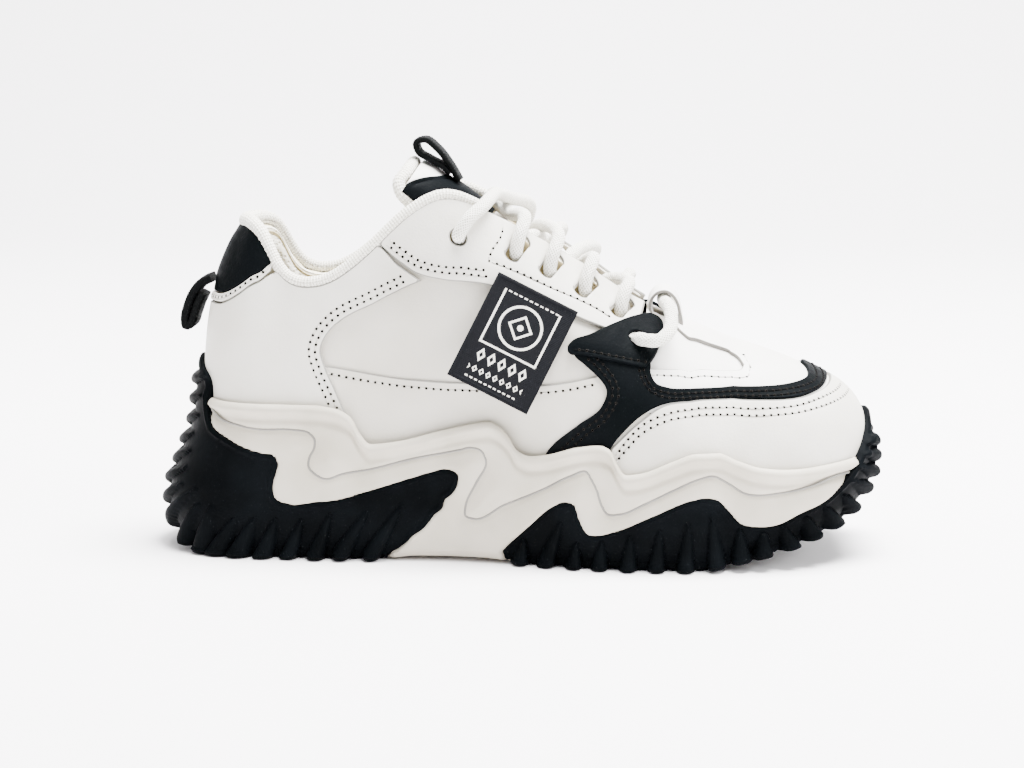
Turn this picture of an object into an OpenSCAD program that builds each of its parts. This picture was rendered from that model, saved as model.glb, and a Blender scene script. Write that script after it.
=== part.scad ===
// Chunky-soled lace-up sneaker for the right foot, built as its separate cut, moulded and sewn pieces.
// +X points at the toe, +Y to the medial side, +Z up. The sole stands on z = 0.

/* [Shell] */
// Distance of the heel fan centre behind the origin
heel_x = 92; // [90:0.5:94]
// Distance of the toe fan centre in front of the origin
toe_x = 84; // [82:0.5:86]
// Length of the midsole behind the heel fan centre
heel_reach = 36; // [35:0.5:37]
// Length of the midsole in front of the toe fan centre
toe_reach = 56.5; // [56:0.25:57]
// Roundness of the heel in plan, 2 is an ellipse
heel_round = 2.3; // [2:0.05:2.6]
// Roundness of the toe in plan, 2 is an ellipse
toe_round = 2.25; // [2:0.05:2.6]

/* [Layers] */
// Thickness of one leather panel
leather = 1.1; // [0.9:0.05:1.15]
// Distance from one leather layer down to the next
layer = 1.3; // [1.25:0.05:1.4]
// Thickness of the textile lining
lining = 1; // [0.8:0.1:1.1]
// Thickness of the rubber wall over the midsole
rubber = 2.2; // [1.8:0.1:2.4]
// Thickness of the rubber under the midsole
tread = 4; // [3.6:0.1:4.4]

/* [Lugs] */
// Number of side lugs around each half of the outsole
lug_count = 13; // [10:1:15]
// Height of the side lugs over the rubber wall
lug_height = 3; // [2:0.25:3.5]

/* [Trim] */
// Diameter of the round lace
lace_d = 5; // [4.5:0.1:5.2]
// Diameter of the knitted binding round the collar
binding_d = 4.8; // [4:0.1:5]
// Width of the woven label
label_w = 34; // [30:1:36]
// Length of the woven label
label_l = 44; // [38:1:46]
// Width of the pull loops' webbing
webbing_w = 14; // [10:1:16]
// Thickness of the pull loops' webbing
webbing_t = 1.8; // [1.4:0.1:2]

/* [Hidden] */

// The chart runs round the shoe: q is x along the sides, and goes on round the heel and toe fans.
heel_q = -heel_x - 50;
toe_q = toe_x + 70;

// Half widths of the midsole from the spine, and the spine's own y, as [x, value]
lateral_width = [[-92, 36], [-70, 38], [-50, 37.5], [-30, 37], [-10, 40], [10, 45.5], [30, 51], [50, 54],
    [70, 55], [84, 52.5]];
medial_width = [[-92, 35], [-70, 35.5], [-50, 34.5], [-30, 34], [-10, 35], [10, 38.5], [30, 43],
    [50, 46.5], [70, 46], [84, 44]];
spine = [[-20, 0], [20, 1], [50, 2], [84, 4]];

// Upper: how far its foot is inside the midsole wall, and the height of its foot, as [q, value]
foot_in = [[-142, 2], [-92, 2.5], [0, 2.5], [84, 2.5], [120, 2.2], [154, 2]];
foot_z = [[-142, 48], [-92, 46], [-50, 41], [0, 34], [40, 30], [84, 30], [154, 34]];
// Upper: half width and height of its top edge, which closes into the ridge in front of x = 68
rim_width = [[-142, 19], [-120, 20], [-105, 24], [-92, 27.5], [-83, 30], [-60, 31], [-40, 29.5], [-30, 28],
    [-20, 26.5], [0, 22], [20, 18], [40, 14.5], [50, 12], [58, 8.5], [63, 5], [67, 0.6], [68, 0]];
rim_z = [[-142, 128.5], [-120, 128.5], [-110, 127.5], [-102, 124.5], [-97, 117.5], [-92, 110.5], [-88,
    107.5],
    [-83, 106], [-78, 106.3], [-72, 108], [-63, 114], [-53, 123], [-44, 132], [-37, 137], [-30, 140.5],
    [-26, 141], [-20, 139.5], [-10, 135], [0, 130], [12, 123], [27, 114], [40, 105], [50, 99], [58, 95.5],
    [67, 91.5], [84, 84.5]];
// Upper: slope of its top edge in degrees, outward lean of its foot, and fullness at foot and top
rim_slope = [[-142, 62], [-110, 70], [-92, 80], [-60, 86], [-40, 75], [-20, 62], [0, 50], [20, 42], [40,
    33],
    [54, 18], [63, 5], [67, 0]];
foot_lean = [[-142, 2.4], [-92, 0], [-40, 0], [20, 3], [84, 3], [154, 7.6]];
foot_full = [[-142, 0.57], [-92, 0.45], [-40, 0.45], [0, 0.5], [60, 0.55], [84, 0.55], [154, 0.6]];
top_full = [[-142, 0.31], [-92, 0.35], [-40, 0.4], [0, 0.5], [60, 0.55], [84, 0.55], [154, 0.69]];

// Sole: top edge of the midsole wall, footbed height, underside, and flare of the rear wall, as [q, z]
wall_top = [[-142, 63], [-110, 61], [-78, 61], [-70, 60], [-64, 57], [-60, 50], [-56, 46], [-46, 47],
    [-30, 51], [-16, 54.5], [-10, 55.5], [-6, 54], [-2, 50], [1, 45], [6, 43], [13, 44], [25, 47.5],
    [33, 48.5], [37, 47], [40, 41], [43, 37.5], [48, 38], [61, 43], [70, 46], [78, 46], [85, 43], [93, 40],
    [103, 39], [121, 40], [154, 42]];
bed_z = [[-142, 45], [-92, 43], [-50, 38], [0, 31], [40, 27], [84, 27], [154, 31]];
under_z = [[-142, 3], [-120, 0], [-50, 0], [-38, 1], [-12, 1], [2, 0], [72, 0], [85, 2.5], [98, 6], [110,
    10],
    [125, 14], [154, 19]];
// Outsole: top edge of the rubber, as [q, z]
heel_rubber_top = [[-142, 76], [-136, 56], [-128, 49], [-118, 45], [-104, 42], [-95, 39], [-93, 33],
    [-90, 25], [-84, 22], [-74, 24], [-46, 31]];
fore_rubber_top = [[-5, 6], [10, 21], [18, 26], [23, 25], [27, 17], [32, 14], [53, 21], [70, 29],
    [77, 29], [82, 25], [88, 19], [101, 18], [118, 23], [132, 32], [145, 45], [154, 56]];

// Centre line of the tongue's outer face from its foot to its top, as [x, z]
tongue_line = [[50, 86], [40, 94], [20, 110], [4, 122.5], [-14, 137], [-26, 146], [-38, 153.5]];
// Half width of the tongue and how far its edges drop, along its length from 0 to 1
tongue_width = [[0, 12], [0.2, 17], [0.4, 19.5], [0.78, 19.5], [0.9, 21.5], [1, 22]];
tongue_drop = [[0, 7], [0.3, 13], [0.6, 15], [1, 12]];
// Route of the lace's centre, a criss-cross from the lateral to the medial top hole
lace_route = [[-33, -22.5, 101], [-30, -23, 110], [-25, -24.5, 118], [-22, -28, 124.5], [-21.5, -34, 127.5],
    [-18, -34, 133], [-13, -28.5, 137.5], [-8.5, -11, 141], [-4, 2, 138.5], [3, 24.5, 131.5], [1.5, 28,
        127],
    [0, 27.5, 120.5], [1, 21, 116.5], [5, 12.5, 124.5], [8.5, 0, 128], [16, -20.5, 124], [14.5, -24.5, 120],
    [13, -25, 113.5], [14, -19, 108], [18, -8.5, 114], [22, 0, 117.5], [29.5, 20, 116], [28, 24, 113],
    [26.5, 24.5, 106.5], [27.5, 19, 101], [31.5, 8.5, 103.5], [35.5, 0, 106.5], [43.5, -14, 106.5],
    [42, -18.5, 104], [40.5, -20.5, 97.5], [41.5, -15.5, 91.5], [46, -24, 81], [46.6, -29, 84.5],
    [47.6, -34.5, 87.5], [50.5, -38, 87.5], [55, -38.5, 87.5], [58.8, -35, 90], [60, -29, 94], [59.3,
        -21, 97.8],
    [57.5, -9, 98.8], [57.5, 9, 98.8], [59.3, 21, 98.3], [60, 29.5, 94.8], [58.8, 35.5, 91], [55, 39, 88.5],
    [50.5, 38.5, 88.5], [47.6, 35.5, 88.5], [46.6, 30, 85.5], [46, 25, 82.5], [41.5, 18, 92],
    [40.5, 22.5, 98], [42, 21.5, 104], [43.5, 17.5, 106.5], [35.5, 0, 101], [31.5, -6, 103.5],
    [27.5, -17.5, 100.5], [26.5, -23, 106], [28, -21.5, 112.5], [29.5, -17.5, 116], [22, 0, 112],
    [18, 10.5, 114], [14, 20, 109], [13, 26, 114], [14.5, 26, 120.5], [16, 22, 124], [8.5, 0, 122.5],
    [5, -11.5, 124.5], [1, -20.5, 116], [0, -27, 120], [1.5, -27.5, 127], [3, -23.5, 131.5], [-4, -2, 133],
    [-8.5, 11, 137], [-13, 29, 137.5], [-18, 34, 133], [-21.5, 33.5, 128], [-22, 28, 125], [-25, 24.5, 118],
    [-30, 23, 110], [-33, 22.5, 101]];

// Smooth value through [x, y] pairs without overshoot
function slope(p, i) = (p[i + 1][1] - p[i][1]) / (p[i + 1][0] - p[i][0]);
function bend(a, b) = a * b <= 0 ? 0 : 2 * a * b / (a + b);
function tangent(p, i) = i == 0 ? slope(p, 0) : i == len(p) - 1 ? slope(p, i - 1) : bend(slope(p, i - 1),
    slope(p, i));
function hermite(p, i, h, s) = p[i][1] * (2 * s * s * s - 3 * s * s + 1) + p[i
    + 1][1] * (3 * s * s - 2 * s * s * s)
    + h * tangent(p, i) * (s * s * s - 2 * s * s + s) + h * tangent(p, i + 1) * (s * s * s - s * s);
function span(p, x) = len([for (k = [1:len(p) - 2]) if (p[k][0] <= x) k]);
function curve(p, x) = x <= p[0][0] ? p[0][1] : x >= p[len(p) - 1][0] ? p[len(p) - 1][1] :
    let (i = span(p, x), h = p[i + 1][0] - p[i][0]) hermite(p, i, h, (x - p[i][0]) / h);

// Smooth point along a list of points, u from 0 to 1
function clamp(v, low, high) = min(high, max(low, v));
function knot(p, i) = p[clamp(i, 0, len(p) - 1)];
function cubic(a, b, c, d, s) = b + s * (c - a) / 2 + s * s * (a - 2.5 * b + 2 * c - d / 2)
    + s * s * s * (1.5 * b - a / 2 - 1.5 * c + d / 2);
function along(p, u) = let (w = clamp(u, 0, 1) * (len(p) - 1), i = min(floor(w), len(p) - 2))
    cubic(knot(p, i - 1), knot(p, i), knot(p, i + 1), knot(p, i + 2), w - i);
function mix(a, b, s) = a * (1 - s) + b * s;

// Plan: side of a chart place (-1 lateral, 1 medial), its folded q, angle in the fan, direction, radius
function side(q) = q > toe_q || q < heel_q ? 1 : -1;
function fold(q) = q > toe_q ? 2 * toe_q - q : q < heel_q ? 2 * heel_q - q : q;
function fan(q) = q > toe_x ? 90 * (q - toe_x) / (toe_q - toe_x) : q < -heel_x ? 90 * (q
    + heel_x) / (-heel_q - heel_x) : 0;
function width(q, s) = curve(s < 0 ? lateral_width : medial_width, q);
function super(b, a, n, turn) = pow(pow(cos(turn) / b, n) + pow(abs(sin(turn)) / a, n), -1 / n);
function reach(q, s) = q > toe_x ? super(width(q, s), toe_reach, toe_round, fan(q)) :
    q < -heel_x ? super(width(q, s), heel_reach, heel_round, fan(q)) : width(q, s);
function centre(q) = let (x = clamp(q, -heel_x, toe_x)) [x, curve(spine, x)];
// Point at radius r from the spine and height z
function place(q, r, z) = let (f = fold(q), c = centre(f), turn = fan(f))
    [c[0] + r * sin(turn), c[1] + side(q) * r * cos(turn), z];

// Upper surface: a cubic meridian from the foot at t = 0 to the top edge at t = 1
function rim_turn(f) = f > toe_x ? atan(0.33 * sin(fan(f))) : curve(rim_slope, f);
function foot_at(f, s) = [reach(f, s) - curve(foot_in, f), curve(foot_z, f)];
function rim_at(f) = [curve(rim_width, f), curve(rim_z, f)];
function lift(f, a, b) = a + curve(foot_full, f) * (b[1] - a[1]) * [sin(curve(foot_lean, f)),
    cos(curve(foot_lean, f))];
function drop(f, a, b) = let (g = rim_turn(f))
    b + curve(top_full, f) * ((a[0] - b[0]) * cos(g) + (b[1] - a[1]) * sin(g)) * [cos(g), -sin(g)];
function bezier(k, t) = k[0] * pow(1 - t, 3) + k[1] * 3 * t * pow(1 - t,
    2) + k[2] * 3 * t * t * (1 - t) + k[3] * t * t * t;
function heading(k, t) = (k[1] - k[0]) * pow(1 - t,
    2) + (k[2] - k[1]) * 2 * t * (1 - t) + (k[3] - k[2]) * t * t;
function meridian(q) = let (f = fold(q), a = foot_at(f, side(q)), b = rim_at(f)) [a, lift(f, a, b),
    drop(f, a, b), b];
function offset_from(p, d, out) = p + out * [d[1], -d[0]] / norm(d);
function skin(q, t, out) = let (k = meridian(q), p = offset_from(bezier(k, t), heading(k, t),
    out)) place(q, p[0], p[1]);
// Fraction t of the meridian at height z, by halving
function search(k, z, low, high, n) = n == 0 ? (low + high) / 2 :
    let (t = (low + high) / 2) bezier(k, t)[1] < z ? search(k, z, t, high, n - 1) : search(k, z, low, t,
        n - 1);
function level(p) = p[1] >= curve(rim_z, fold(p[0])) ? [p[0], 1] : [p[0], search(meridian(p[0]), p[1], 0,
    1, 12)];

// Mirrored chart places: the same piece across the heel, across the toe, or on the medial side alone
function reversed(p) = [for (i = [len(p) - 1:-1:0]) p[i]];
function over_heel(p) = [for (k = p) [2 * heel_q - k[0], k[1]]];
function over_toe(p) = [for (k = p) [2 * toe_q - k[0], k[1]]];

// Coons patch between four chart curves
function coons(b, t, l, r, u, v) = mix(level(along(b, u)), level(along(t, u)), v)
    + mix(level(along(l, v)), level(along(r, v)), u)
    - mix(mix(level(b[0]), level(b[len(b) - 1]), u), mix(level(t[0]), level(t[len(t) - 1]), u), v);
function patch_grid(b, t, l, r, nu, nv, out) = [for (i = [0:nu]) [for (j = [0:nv])
    let (c = coons(b, t, l, r, i / nu, j / nv)) skin(c[0], clamp(c[1], 0, 1), out)]];

// Closed slab between two grids of points; a folded slab has its last row meeting itself
module slab(top, bottom, folded = false) {
    n = len(top) - 1;
    m = len(top[0]) - 1;
    w = m + 1;
    b = (n + 1) * w;
    points = concat([for (row = top) each row], [for (row = bottom) each row]);
    faces = concat(
        [for (i = [0:n - 1], j = [0:m - 1]) each [[i * w + j, (i + 1) * w + j + 1, (i + 1) * w + j],
            [i * w + j, i * w + j + 1, (i + 1) * w + j + 1]]],
        [for (i = [0:n - 1], j = [0:m - 1]) each [[b + i * w + j, b + (i + 1) * w + j,
        b + (i + 1) * w + j + 1],
            [b + i * w + j, b + (i + 1) * w + j + 1, b + i * w + j + 1]]],
        [for (i = [0:n - 1]) each [[i * w, (i + 1) * w, b + (i + 1) * w], [i * w, b + (i + 1) * w,
        b + i * w]]],
        [for (i = [0:n - 1]) each [[i * w + m, b + (i + 1) * w + m, (i + 1) * w + m],
            [i * w + m, b + i * w + m, b + (i + 1) * w + m]]],
        [for (j = [0:m - 1]) each [[j, b + j, b + j + 1], [j, b + j + 1, j + 1]]],
        folded ? [] : [for (j = [0:m - 1]) let (k = n * w) each [[k + j, k + j + 1, b + k + j + 1],
            [k + j, b + k + j + 1, b + k + j]]]);
    polyhedron(points, faces);
}

// Panel between four chart curves, one leather layer thick, on the lateral or the medial side
module panel(b, t, l, r, nu, nv, out, thick = leather, medial = false) {
    bottom = medial ? reversed(over_toe(b)) : b;
    top = medial ? reversed(over_toe(t)) : t;
    left = medial ? over_toe(r) : l;
    right = medial ? over_toe(l) : r;
    slab(patch_grid(bottom, top, left, right, nu, nv, out),
        patch_grid(bottom, top, left, right, nu, nv, out - thick));
}

// Piece that crosses the ridge in front of the throat, from the low to the high fraction on both sides
function crossing(q, low, n, top, out) = concat(
    [for (j = [0:n]) skin(q, mix(low, top, j / n), out)],
    [for (j = [n:-1:0]) skin(2 * toe_q - q, mix(low, top, j / n), out)]);
module saddle(from, to, low, out, thick, nu, n, top = 0.97) {
    closed = to >= toe_q;
    stations = [for (i = [0:nu]) mix(from, to, i / nu)];
    slab([for (q = stations) crossing(q, curve(low, q), n, top, out)],
        [for (q = stations) crossing(q, curve(low, q), n, top, out - thick)], folded = closed);
}

// Closed solid of rings of points round the shoe, capped by strips across it
module rings(rows) {
    count = len(rows[0]);
    half = count / 2;
    last = (len(rows) - 1) * count;
    faces = concat(
        [for (r = [0:len(rows) - 2], k = [0:count - 1]) let (a = r * count + k,
        b = r * count + (k + 1) % count)
            each [[a, a + count, b + count], [a, b + count, b]]],
        [for (k = [0:half - 1]) let (a = k, b = k + 1, c = count - k - 1, d = (count - k) % count)
            each (a == d ? [[a, b, c]] : b == c ? [[a, b, d]] : [[a, b, c], [a, c, d]])],
        [for (k = [0:half - 1]) let (a = last + k, b = last + k + 1, c = last + count - k - 1,
            d = last + (count - k) % count)
            each (a == d ? [[a, c, b]] : b == c ? [[a, d, b]] : [[a, c, b], [a, d, c]])]);
    polyhedron([for (row = rows) each row], faces);
}
// Chart places all round the shoe, from the heel over the lateral side and the toe
function all_round(n) = [for (k = [0:2 * n - 1]) mix(heel_q, toe_q, k / n)];

// Outward flare of the sole's wall behind the heel and under the toe
heel_flare = [[4, 9], [16, 12], [26, 11], [33, 8], [41, 5], [49, 2], [57, 0.5], [65, 0]];
toe_flare = [[14, -9], [19, -5], [24, -2.5], [32, 0]];
function flare(f, z) = pow(sin(fan(f)), 2) * (f > toe_x ? curve(toe_flare, z) : curve(heel_flare, z));
function wall(q, z, out) = let (f = fold(q)) place(q, reach(f, side(q)) + flare(f, z) + out, z);
function upper_r(q, z) = let (k = meridian(q)) bezier(k, search(k, z, 0, 1, 12))[0];

module midsole() {
    around = all_round(36);
    color("#dfdcd5") rings([
        [for (q = around) wall(q, curve(under_z, fold(q)) + tread + 1.1, -5)],
        [for (q = around) wall(q, curve(under_z, fold(q)) + tread + 2.9, 0)],
        for (s = [0.2:0.2:0.8])
            [for (q = around) wall(q, mix(curve(under_z, fold(q)) + tread, curve(wall_top, fold(q)), s),
            0)],
        [for (q = around) wall(q, curve(wall_top, fold(q)) - 1.5, 0)],
        [for (q = around) let (z = curve(wall_top, fold(q))) place(q, upper_r(q, z) + 1, z)],
        [for (q = around) let (z = curve(wall_top, fold(q))) place(q, upper_r(q, z) + 0.8, z - 0.5)],
        [for (q = around) let (z = curve(foot_z, fold(q))) place(q, upper_r(q, z) + 0.8, z)],
        [for (q = around) let (z = curve(bed_z, fold(q))) place(q, upper_r(q, z) - 0.2, z)]]);
}

// Gap between the rubber and the foam, filled by their glue
function bond(f) = curve([[-46, 0.15], [-5, 0.35], [50, 0.4], [74, 0.95]], f) + 0.95 * pow(sin(fan(f)), 2);
// Rubber shell: a section across the sole at q, from the lateral to the medial side
function lug(q, count, from, to) = lug_height * 0.5 * (1 - cos(360 * count * (q - from) / (to - from)));
function shell_side(q, top, bump) = let (f = fold(q), low = curve(under_z, f), high = curve(top, f)) [
    wall(q, high, bond(f)), wall(q, high, rubber), wall(q, mix(low, high, 0.6), rubber + bump * 0.6),
        wall(q, mix(low, high, 0.2) + 1, rubber + bump),
    wall(q, low + 2, rubber + bump * 0.8), wall(q, low, rubber - 2)];
function shell_inner(q, top) = let (f = fold(q), low = curve(under_z, f) + tread, high = curve(top, f))
    concat([wall(q, low, -5.5)], [for (s = [0:0.25:0.75]) wall(q, mix(min(low + 1.8, high - 1), high, s),
        bond(f))]);
function shell_section(q, top, bump) = concat(shell_inner(q, top), shell_side(q, top, bump),
    reversed(shell_side(2 * toe_q - q, top, bump)), reversed(shell_inner(2 * toe_q - q, top)));
// Solid lofted through closed sections; at an end without a cap the two halves of the section are one
module loft(sections, cap_first, cap_last) {
    w = len(sections[0]);
    n = len(sections) - 1;
    at = function(i, j) let (k = j % w, closes = (i == 0 && !cap_first) || (i == n && !cap_last))
        i * w + (closes ? min(k, w - 1 - k) : k);
    faces = concat(
        [for (i = [0:n - 1], j = [0:w - 1]) let (a = at(i, j), b = at(i, j + 1), c = at(i + 1, j),
        d = at(i + 1, j + 1))
            each concat(c == d ? [] : [[a, c, d]], a == b ? [] : [[a, d, b]])],
        cap_first ? [[for (j = [0:w - 1]) j]] : [],
        cap_last ? [[for (j = [w - 1:-1:0]) n * w + j]] : []);
    polyhedron([for (s = sections) each s], faces);
}

module outsole_heel() {
    from = heel_q;
    to = -46;
    n = 3 * lug_count;
    color("#10151a") union() {
        loft([for (i = [0:n]) let (q = mix(from, to, i / n))
            shell_section(q, heel_rubber_top, lug(q, lug_count, from, to))], false, true);
        heel_wing(false);
        heel_wing(true);
    }
}
// Rubber arm that runs forward from the heel shell along the midsole
module heel_wing(medial) {
    low = [[-49, 1.6], [-43, 6], [-32, 17], [-24, 28]];
    high = [[-49, 28.5], [-40, 33], [-31, 35.5], [-24, 35]];
    grid = function(out) [for (i = [0:6]) [for (j = [0:3])
        let (p = mix(along(low, i / 6), along(high, i / 6), j / 3), q = medial ? 2 * toe_q - p[0] : p[0])
            wall(q, p[1], out)]];
    outer = grid(rubber - 0.2);
    inner = grid(0.3);
    slab(medial ? reversed(outer) : outer, medial ? reversed(inner) : inner);
}

module outsole_forefoot() {
    from = -5;
    to = toe_q;
    count = lug_count + 2;
    n = 3 * count;
    color("#10151a") loft([for (i = [0:n]) let (q = mix(from, to, i / n))
        shell_section(q, fore_rubber_top, lug(q, count, from, to) * (q > 130 ? 0.3 : 1))], true, false);
}

// Boards that lie on the footbed, from one height over it to another
module board(low, high, inset, n = 30) {
    around = all_round(n);
    rings([for (level = [low, high])
        [for (q = around) let (z = curve(bed_z, fold(q)) + level)
            place(q, reach(fold(q), side(q)) - curve(foot_in, fold(q)) - inset, z)]]);
}
module insole_board() {
    color("#cdbf9a") board(0.2, 2, 0.8);
}
module sockliner() {
    color("#c9bd98") board(2.3, 7, 9.2);
}

// Foot of the upper at q, and a place on its rim
function foot(q) = [q, curve(foot_z, q)];
function rim(q) = [q, curve(rim_z, q) + 0.8];

heel_front = [foot(-57), [-66, 58], [-70, 67], [-74, 76], [-75.5, 82], [-73, 88], [-68, 93], [-54, 100.5],
    [-42, 107], [-36, 109.5]];
heel_top = [[-36, 109.5], [-46, 116], [-54, 122.5], rim(-64), rim(-74), rim(-84), rim(-92), [-98, 110],
    [-105, 106.5],
    [-113, 101.5], [-121, 98.5], [-131, 98], [-142, 97.5]];
trim_low = [[-101.5, 110.8], [-105, 108], [-113, 102.7], [-121, 99.7], [-131, 99.1], [-142, 98.7]];
trim_high = [[-101.5, 113.1], [-106, 109.8], [-112, 105.5], [-121, 102.2], [-131, 101.6], [-142, 101.2]];
tab_low = [[-102, 113.6], [-106, 110.4], [-112, 106.3], [-121, 102.9], [-131, 102.3], [-142, 101.9]];
tab_high = [rim(-107), rim(-114), rim(-121), rim(-128), rim(-135), rim(-142)];
// Whole curve over the heel from its half, from the medial end to the lateral end
function tail(p) = [for (i = [1:len(p) - 1]) p[i]];
function whole_heel(half) = concat(over_heel(half), tail(reversed(half)));
// Piece that crosses the heel between two chart curves, each given from its lateral end to the heel's middle
module heel_strip(low, high, edge, nu, nv, out = 0, thick = leather) {
    panel(whole_heel(low), whole_heel(high), over_heel(edge), edge, nu, nv, out, thick);
}
module heel_overlay() {
    color("#e9e8e3") heel_strip([for (q = [-57:-17:-142]) foot(q)], heel_top, heel_front, 34, 6);
}
module heel_trim() {
    color("#e9e8e3") heel_strip(trim_low, trim_high, [trim_low[0], trim_high[0]], 16, 1, -layer - 0.9);
}
module heel_tab() {
    color("#16191c") heel_strip(tab_low, tab_high, [tab_low[0], tab_high[0]], 16, 4, -layer - 0.9);
}
module heel_counter() {
    low = [[-84, 50], [-100, 51], [-115, 52], [-130, 53], [-142, 53]];
    high = [[-86, 86], [-98, 92], [-112, 95], [-130, 95], [-142, 95]];
    color("#b9a47a") heel_strip(low, high, [low[0], high[0]], 18, 3, -leather - 0.8, 1.5);
}

// Collar panel: the raised quarter top that carries the lace holes
collar_low = [[-52.5, 123], [-45, 117], [-37, 112], [-30, 110.6], [-11, 108.5], [6, 103.5], [29, 94],
    [46, 87]];
collar_high = [for (q = [-51.5, -40, -28, -14, 4, 20, 35, 50]) rim(q)];
module collar_panel(medial) {
    color("#e9e8e3") difference() {
        panel(collar_low, collar_high, [collar_low[0], collar_high[0]], [collar_low[7], collar_high[7]],
        20, 4, 0,
            medial = medial);
        lace_holes(medial);
    }
}
module lateral_collar_panel() {
    collar_panel(false);
}
module medial_collar_panel() {
    collar_panel(true);
}
module eyestay(medial) {
    low = [[-9, 118], [0, 113.5], [17, 104.5], [31, 98], [44, 92]];
    high = [for (q = [-3, 8, 20, 34, 48]) rim(q)];
    color("#d9d6cf") difference() {
        panel(low, high, [low[0], [-6, 127], high[0]], [low[4], high[4]], 16, 4, -layer - 0.2,
            leather - 0.2, medial);
        lace_holes(medial);
    }
}
module lateral_eyestay() {
    eyestay(false);
}
module medial_eyestay() {
    eyestay(true);
}
// Lace slots, leaning forward along the strands, and the round holes, as [q, fraction up the meridian]
slots = [[0.5, 0.915], [13.5, 0.915], [27, 0.905], [41, 0.9]];
round_holes = [[-22, 0.87], [47, 0.73]];
// Frame on the skin: its own Z is the outward normal in the plane across the shoe
module on_skin(q, t, medial) {
    p = skin(q, t, 0);
    n = skin(q, t, 1) - p;
    mirror([0, medial ? 1 : 0, 0]) translate(medial ? mirrored(skin(2 * toe_q - q, t, 0)) : p)
        rotate([atan2(-n[1], n[2]), 0, 0]) children();
}
function mirrored(p) = [p[0], -p[1], p[2]];
module lace_holes(medial) {
    for (s = slots) on_skin(s[0], s[1], medial) rotate([0, 0, -24]) translate([0, 0, -12])
        linear_extrude(20) hull() for (y = [-5, 5]) translate([0, y]) circle(3.2, $fn = 16);
    for (h = round_holes) on_skin(h[0], h[1], medial) translate([0, 0, -12]) cylinder(20, r = 3.3,
        $fn = 16);
}

// Side panels under the collar panel
side_low = [[-82, 70], [-60, 68], [-32, 66], [0, 66], [33, 68], [48, 68]];
side_high = [[-84, 90], [-68, 103], [-55, 116], [-44, 123], [-32, 121], [-11, 114], [6, 109], [29, 99],
    [48, 93]];
module side_panel(medial) {
    color("#dedbd5") difference() {
        panel(side_low, side_high, [side_low[0], side_high[0]], [side_low[5], side_high[8]], 18, 3,
            -2 * layer - 0.1, medial = medial);
        lace_holes(medial);
    }
}
module lateral_side_panel() {
    side_panel(false);
}
module medial_side_panel() {
    side_panel(true);
}
lower_high = [[-80, 76.5], [-68, 75], [-50, 72], [-32, 70.3], [-15, 70], [15, 71], [33, 75], [42, 76.5]];
module lower_panel(medial) {
    low = [for (q = [-64:19:31]) foot(q)];
    color("#e2dfd9") panel(low, lower_high, [low[0], [-74, 62], lower_high[0]], [low[5], [38, 60],
        lower_high[7]],
        18, 4, -layer, medial = medial);
}
module lateral_lower_panel() {
    lower_panel(false);
}
module medial_lower_panel() {
    lower_panel(true);
}

// Black overlay: an arm down to the sole, a band round the toe, and a lobe with the front lace hole
module sweep(medial) {
    low = [foot(8), foot(20), foot(33)];
    high = [[23.5, 84.5], [37, 83], [51, 80]];
    back = [foot(8), [13, 45], [25, 56], [35, 64], [35, 71], [28, 77.5], [23.5, 84.5]];
    front = [foot(33), [37, 47.6], [43, 54.5], [50.6, 61], [51, 66], [51, 71.5], [51, 80]];
    color("#12161a") panel(low, high, back, front, 5, 12, 0, medial = medial);
}
module lateral_sweep() {
    sweep(false);
}
module medial_sweep() {
    sweep(true);
}
// Curves over the toe from their lateral half
function whole_toe(half) = concat(half, tail(reversed(over_toe(half))));
mudguard_high = [[37.5, 47], [49, 58], [57, 63.2], [68, 64.6], [92, 64.4], [112, 64.5], [126, 66.3],
    [140, 68], [154, 68.8]];
band_low = [[51.8, 61.2], [57, 64], [68, 65.2], [92, 65], [112, 65.1], [126, 66.9], [140, 68.7], [154,
    69.5]];
band_high = [[51.8, 74], [56, 70.5], [68, 69.3], [88, 69.1], [109, 69.5], [125, 70.8], [140, 73], [154,
    74.4]];
module toe_mudguard() {
    low = [for (q = [34:24:154]) foot(q)];
    color("#eeece7") panel(whole_toe(low), whole_toe(mudguard_high), [low[0], mudguard_high[0]],
        over_toe([low[0], mudguard_high[0]]), 36, 4, 0);
}
module toe_band() {
    edge = [band_low[0], band_high[0]];
    color("#12161a") panel(whole_toe(band_low), whole_toe(band_high), edge, over_toe(edge), 40, 1, 0);
}
module lace_lobe(medial) {
    low = [[23, 83.5], [36, 80.5], [50, 77.5]];
    high = [[22, 87], [29, 89.5], [38, 92.5], [46, 94.3], [55, 93.5]];
    color("#12161a") difference() {
        panel(low, high, [low[0], high[0]], [low[2], [55.5, 84], [57, 89], high[4]], 8, 4, 1.35, leather,
        medial);
        lace_holes(medial);
    }
}
module lateral_lace_lobe() {
    lace_lobe(false);
}
module medial_lace_lobe() {
    lace_lobe(true);
}

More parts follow.
